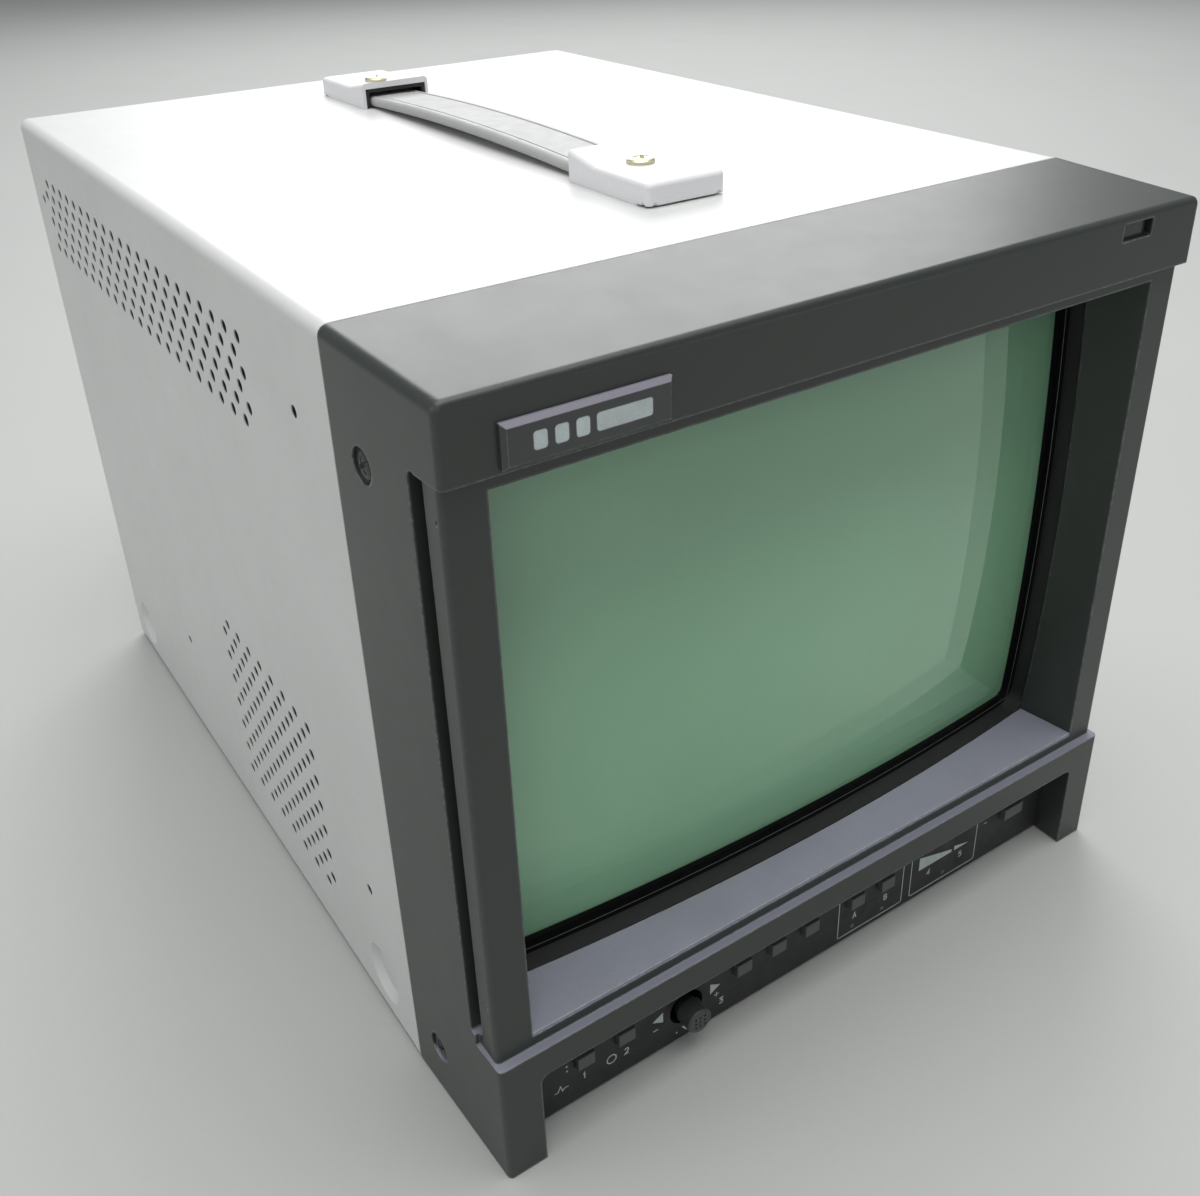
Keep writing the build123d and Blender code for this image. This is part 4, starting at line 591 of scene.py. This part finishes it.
def strap_section():
    """Outline across the strap, anticlockwise, in millimetres from the middle of its underside."""
    r = STRAP_THICK / 2
    bead = STRAP_HALF - r
    points = []
    for i in range(13):
        angle = -math.pi / 2 + math.pi * i / 12
        points.append((bead + r * math.cos(angle), r + r * math.sin(angle)))
    for x, z in ((7.3, 3.36), (7.05, 2.95), (6.75, 2.95), (6.5, 3.3), (3.2, 3.34), (0.0, 3.36)):
        points.append((x, z))
    mirrored = [(-x, z) for x, z in reversed(points[:-1])]
    return points + mirrored


def strap_height(depth):
    """Height of the strap's underside above its ends."""
    half = (STRAP_SPAN[1] - STRAP_SPAN[0]) / 2
    off = depth - (STRAP_SPAN[0] + STRAP_SPAN[1]) / 2
    if abs(off) >= half:
        return 0.0
    bend = (half ** 2 + STRAP_RISE ** 2) / (2 * STRAP_RISE)
    return math.sqrt(bend ** 2 - off ** 2) - (bend - STRAP_RISE)


def strap_ring(depth):
    """The section at one depth, turned to stay square to the strap's line, in metres."""
    slope = strap_height(depth + 0.5) - strap_height(depth - 0.5)
    lean = math.atan(slope)
    y = FRONT_Y + depth * MM
    ring = []
    for x, z in strap_section():
        off = (z - STRAP_THICK / 2) * MM
        height = strap_low + (strap_height(depth) + STRAP_THICK / 2) * MM
        ring.append(Vector(((STRAP_X + x) * MM, y - off * math.sin(lean), height + off * math.cos(lean))))
    return ring


bm = bmesh.new()
strap_length = STRAP_ENDS[1] - STRAP_ENDS[0]
depths = [STRAP_ENDS[0] + strap_length * i / STRAP_STEPS for i in range(STRAP_STEPS + 1)]
ring_loft(bm, [strap_ring(depth) for depth in depths])
strap = piece("strap_moulded", bm, "handle_strap", "strap_vinyl", stands_for=("handle_strap",))

cutter_bm = bmesh.new()
for depth in SCREW_DEPTHS:
    centre = at(STRAP_X, depth, 0)
    outline = []
    for i in range(48):
        angle = 2 * math.pi * i / 48
        shift = SLOT_HALF_RUN if math.sin(angle) > 0 else -SLOT_HALF_RUN
        outline.append((SLOT_RADIUS * math.cos(angle), SLOT_RADIUS * math.sin(angle) + shift))
    rings = [[Vector((centre.x + x * MM, centre.y + y * MM, z)) for x, y in outline]
             for z in (strap_low - 2 * MM, strap_low + 6 * MM)]
    ring_loft(cutter_bm, rings)
cutter_mesh = bpy.data.meshes.new("strap_slots")
cutter_bm.to_mesh(cutter_mesh)
cutter_bm.free()
cutter = bpy.data.objects.new("strap_slots", cutter_mesh)
bpy.context.scene.collection.objects.link(cutter)
slots = strap.modifiers.new("slots", "BOOLEAN")
slots.operation = "DIFFERENCE"
slots.object = cutter
slots.solver = "EXACT"
bpy.context.view_layer.update()
graph = bpy.context.evaluated_depsgraph_get()
cut_mesh = bpy.data.meshes.new_from_object(strap.evaluated_get(graph))
strap.modifiers.clear()
strap.data = cut_mesh
bpy.data.objects.remove(cutter)
sharpen(strap, 30)

# black liner inside the mouth of each cap, in millimetres
LINER_HALF = 11.15      # half its width
LINER_WALL = 1.15
LINER_LOW = 0.1         # its foot, above the cover
LINER_UNDER = 5.15      # underside of its arch
LINER_OUTER = 1.1       # radii of its shoulders
LINER_INNER = 0.7
CAP_MOUTHS = (("front", 109.5, -1), ("rear", 240.5, 1))


def liner_section(top):
    """Outline of the liner, an arch with rounded shoulders, in millimetres from the middle of the cap."""
    under = min(LINER_UNDER, top - 0.3)
    half = LINER_HALF
    hole = LINER_HALF - LINER_WALL
    shoulder = half - LINER_OUTER
    hollow = hole - LINER_INNER
    points = [(-half, LINER_LOW)]
    points += arc(-shoulder, top - LINER_OUTER, LINER_OUTER, 180, 90, 5)
    points += arc(shoulder, top - LINER_OUTER, LINER_OUTER, 90, 0, 5)
    points += [(half, LINER_LOW), (hole, LINER_LOW)]
    points += arc(hollow, under - LINER_INNER, LINER_INNER, 0, 90, 5)
    points += arc(-hollow, under - LINER_INNER, LINER_INNER, 90, 180, 5)
    return points + [(-hole, LINER_LOW)]


for label, mouth, way in CAP_MOUTHS:
    bm = bmesh.new()
    rings = [[at(STRAP_X + x, mouth + way * back, HEIGHT + z) for x, z in liner_section(top)]
             for back, top in ((0.25, 6.33), (2.0, 6.33), (5.5, 6.1), (8.0, 5.72))]
    ring_loft(bm, rings)
    liner = piece("cap_liner_" + label, bm, "case", "rubber_black")
    sharpen(liner, 50)

# handle screws, down through the caps, with tapered cross recesses
bm = bmesh.new()
for depth in SCREW_DEPTHS:
    screw_head(bm, at(STRAP_X, depth, 215.75), AXIS_Z, (0.35, 1, 0), radius=3.85 * MM, height=0.95 * MM,
               dome=0.7 * MM, recess=2.3 * MM, slot_width=0.95 * MM, recess_depth=1.15 * MM)
    shank(bm, [at(STRAP_X, depth, z) for z in (204.7, 215.7)], AXIS_X, AXIS_Y, 2)
heads = piece("handle_screw_heads", bm, "case", "screw_zinc", stands_for=("handle_screws",))
sharpen(heads, 28)

# the front frame's side screws
BEZEL_SCREW_DEPTH = 32.3
BEZEL_SCREW_HEIGHTS = (16.0, 184.0)
bm = bmesh.new()
for side in (-1, 1):
    for height in BEZEL_SCREW_HEIGHTS:
        centre = at(side * 108.25, BEZEL_SCREW_DEPTH, height)
        screw_head(bm, centre, side * AXIS_X, (0, 0.6, 1), radius=3.6 * MM, height=0.55 * MM,
                   dome=0.6 * MM, recess=2.2 * MM, slot_width=0.95 * MM, recess_depth=0.95 * MM)
        ends = [at(side * x, BEZEL_SCREW_DEPTH, height) for x in (102.8, 108.2)]
        shank(bm, ends, AXIS_Y, AXIS_Z, 1.85)
heads = piece("bezel_screw_heads", bm, "case", "screw_black", stands_for=("bezel_screws",))
sharpen(heads, 28)


# ------------------------------------------------------------------ printed marks on the control panel
PANEL = 9.0    # depth of the panel's face, in millimetres
INK = 0.04     # thickness of the printed ink
ink = surface("printed_ink", (0.50, 0.56, 0.56), 0.5, grain=0.25, depth=0.006, drift=0.14, drift_size=6)


def plate(bm, points):
    """A flat printed shape on the panel from its outline in (x, height) millimetres."""
    front = [bm.verts.new(at(x, PANEL - INK, z)) for x, z in points]
    rear = [bm.verts.new(at(x, PANEL, z)) for x, z in points]
    count = len(points)
    bm.faces.new(front)
    bm.faces.new(list(reversed(rear)))
    for i in range(count):
        bm.faces.new((front[i], rear[i], rear[(i + 1) % count], front[(i + 1) % count]))


def stroke(bm, points, width, closed=False):
    """A line of even width through points."""
    pts = [Vector(p) for p in points]
    count = len(pts)
    sides = []
    for i, p in enumerate(pts):
        before = pts[i - 1] if closed or i > 0 else None
        after = pts[(i + 1) % count] if closed or i < count - 1 else None
        a = (p - before).normalized() if before is not None else (after - p).normalized()
        b = (after - p).normalized() if after is not None else a
        bend = (a + b).normalized()
        normal = Vector((-bend.y, bend.x))
        reach = width / 2 / max(0.3, normal.dot(Vector((-a.y, a.x))))
        sides.append((p + normal * reach, p - normal * reach))
    spans = range(count if closed else count - 1)
    for i in spans:
        (l0, r0), (l1, r1) = sides[i], sides[(i + 1) % count]
        plate(bm, [l0, r0, r1, l1])


def open_box(bm, left, right, bottom, top):
    """A box outline with round lower corners and an open top."""
    r = 0.8
    points = [(left, top)]
    points += arc(left + r, bottom + r, r, 180, 270)
    points += arc(right - r, bottom + r, r, 270, 360)
    stroke(bm, points + [(right, top)], 0.28)


# the lines of each sign, as shares of its width and height
DIGITS = {
    "1": [[(0.25, 0.75), (0.5, 1.0), (0.5, 0.0)]],
    "2": [[(0.05, 0.8), (0.25, 1.0), (0.65, 1.0), (0.85, 0.8), (0.85, 0.6), (0.05, 0.0), (0.9, 0.0)]],
    "3": [[(0.05, 1.0), (0.85, 1.0), (0.4, 0.6), (0.7, 0.6), (0.88, 0.4), (0.88, 0.2), (0.65, 0.0),
           (0.05, 0.0)]],
    "4": [[(0.7, 0.0), (0.7, 1.0), (0.05, 0.3), (0.95, 0.3)]],
    "5": [[(0.85, 1.0), (0.15, 1.0), (0.1, 0.55), (0.65, 0.6), (0.88, 0.4), (0.88, 0.2), (0.65, 0.0),
           (0.08, 0.0)]],
    "A": [[(0.0, 0.0), (0.45, 1.0), (0.9, 0.0)], [(0.2, 0.35), (0.7, 0.35)]],
    "B": [[(0.1, 0.0), (0.1, 1.0), (0.65, 1.0), (0.82, 0.78), (0.65, 0.54), (0.1, 0.54)],
          [(0.65, 0.54), (0.88, 0.3), (0.68, 0.0), (0.1, 0.0)]],
}


DIGIT_HEIGHT = 2.0
DIGIT_WIDTH = DIGIT_HEIGHT * 0.72
DIGIT_LINE = 0.36
# each sign with its place across and its height
SIGNS = (("1", -80.0, 7.6), ("2", -66.6, 7.5), ("3", -34.8, 5.4), ("A", 15.5, 7.8), ("B", 28.1, 7.8),
         ("4", 46.4, 7.5), ("5", 60.4, 7.5))


def digit(bm, sign, x, z):
    """A plain drawn digit or input letter centred on a point."""
    left = x - DIGIT_WIDTH / 2
    low = z - DIGIT_HEIGHT / 2
    for line in DIGITS[sign]:
        stroke(bm, [(left + px * DIGIT_WIDTH, low + pz * DIGIT_HEIGHT) for px, pz in line], DIGIT_LINE)


bm = bmesh.new()
# boxes round the inputs and round the marks beside them
open_box(bm, 9.0, 35.1, 1.8, 28.0)
open_box(bm, 38.6, 67.1, 1.8, 28.0)
# two wedges in the second box
plate(bm, [(41.9, 10.4), (56.1, 10.5), (56.1, 11.5), (41.9, 15.4)])
plate(bm, [(57.3, 10.5), (63.6, 10.6), (57.3, 12.2)])
# arrows and small marks round the joystick
plate(bm, [(-58.2, 12.1), (-54.7, 10.2), (-54.7, 13.9)])
plate(bm, [(-35.3, 12.1), (-38.7, 14.0), (-38.7, 10.2)])
plate(bm, [(-46.9, 1.9), (-45.3, 4.1), (-48.5, 4.1)])
stroke(bm, [(-58.0, 8.6), (-56.4, 8.6)], 0.34)
stroke(bm, [(-37.3, 8.9), (-35.7, 8.9)], 0.34)
stroke(bm, [(-36.5, 8.1), (-36.5, 9.7)], 0.34)
plate(bm, arc(-50.2, 2.9, 0.32, 0, 330, 11))
# marks beside the left buttons and the power button
stroke(bm, arc(-71.5, 7.7, 1.5, 22.5, 337.5, 7), 0.3, closed=True)
stroke(bm, [(-89.2, 6.9), (-88.2, 6.9), (-87.4, 8.6), (-86.8, 6.6), (-86.3, 7.3), (-85.0, 7.3)], 0.3)
plate(bm, arc(-85.2, 14.6, 0.3, 0, 330, 11))
plate(bm, arc(-85.2, 12.9, 0.3, 0, 330, 11))
stroke(bm, [(70.2, 14.4), (71.6, 14.4)], 0.3)
for sign, x, z in SIGNS:
    digit(bm, sign, x, z)
bmesh.ops.recalc_face_normals(bm, faces=bm.faces)
piece("panel_marks", bm, "case", "strap_vinyl", look=ink, smooth=False)

# pale plain bars inlaid in the badge, in millimetres
BADGE = (-76.9, 196.4)      # middle of the badge, across and up
BARS = ((-11.2, 1.47), (-6.6, 1.47), (-2.0, 1.47), (7.4, 6.37))    # middle of each bar and half its width
BAR_HALF_HEIGHT = 1.87
BAR_CORNER = 0.65
BAR_DEPTHS = (-1.76, -1.56)
bm = bmesh.new()
for shift, half in BARS:
    wide = half - BAR_CORNER
    tall = BAR_HALF_HEIGHT - BAR_CORNER
    outline = []
    for cx, cz, start in ((wide, tall, 0), (-wide, tall, 90), (-wide, -tall, 180), (wide, -tall, 270)):
        outline += arc(BADGE[0] + shift + cx, BADGE[1] + cz, BAR_CORNER, start, start + 90, 5)
    ring_loft(bm, [[at(x, depth, z) for x, z in outline] for depth in BAR_DEPTHS])
piece("badge_inlay", bm, "case", "strap_vinyl", look=ink, smooth=False)

# ------------------------------------------------------------------ floor, light, camera
floor_mesh = bmesh.new()
bmesh.ops.create_grid(floor_mesh, x_segments=2, y_segments=2, size=4.0)
floor_data = bpy.data.meshes.new("floor")
floor_mesh.to_mesh(floor_data)
floor_mesh.free()
floor = bpy.data.objects.new("floor", floor_data)
floor.location = (0, 0, FLOOR)
bpy.context.scene.collection.objects.link(floor)
floor_look = surface("floor_pale", (0.46, 0.47, 0.455), 0.6, grain=1.5, drift=0.01, drift_size=300)
floor_data.materials.append(floor_look)


def soft_light(name, place, target, size, power):
    """A white rectangular lamp aimed at a point. size is its two sides in metres and power is in watts."""
    data = bpy.data.lights.new(name, "AREA")
    data.shape = "RECTANGLE"
    data.size, data.size_y = size
    data.energy = power
    obj = bpy.data.objects.new(name, data)
    obj.location = place
    aim = Vector(target) - Vector(place)
    obj.rotation_euler = aim.to_track_quat("-Z", "Y").to_euler()
    bpy.context.scene.collection.objects.link(obj)


soft_light("key", (0.05, -0.2, 1.7), (0, 0, 0.1), (1.6, 1.6), 28)
soft_light("front_fill", (-0.9, -1.5, 0.9), (0, -0.1, 0.1), (1.2, 0.9), 3)
soft_light("left_fill", (-1.7, 0.2, 0.8), (0, 0, 0.1), (1.2, 0.9), 5)
soft_light("rear_high", (1.05, 1.6, 1.25), (0, 0, 0.2), (1.7, 1.1), 24)
bpy.context.scene.view_settings.view_transform = "Standard"

world = bpy.data.worlds.new("studio")
bpy.context.scene.world = world
world.use_nodes = True
background = world.node_tree.nodes["Background"]
background.inputs["Color"].default_value = (0.85, 0.88, 0.9, 1)
background.inputs["Strength"].default_value = 0.34

camera_data = bpy.data.cameras.new("camera")
camera_data.sensor_width = 36.0
camera_data.lens = 38.468
camera_data.shift_x = -0.01378
camera_data.shift_y = -0.0623
camera_data.clip_start = 0.02
camera = bpy.data.objects.new("camera", camera_data)
right = Vector((0.82637, -0.56256, -0.02516))
down = Vector((-0.28825, -0.38420, -0.87710))
ahead = Vector((0.48376, 0.73207, -0.47965))
eye = Vector((-0.19337, -0.33716, 0.29516))
turn = Matrix((right, -down, -ahead)).transposed()
camera.matrix_world = Matrix.Translation(eye) @ turn.to_4x4()
bpy.context.scene.collection.objects.link(camera)
bpy.context.scene.camera = camera
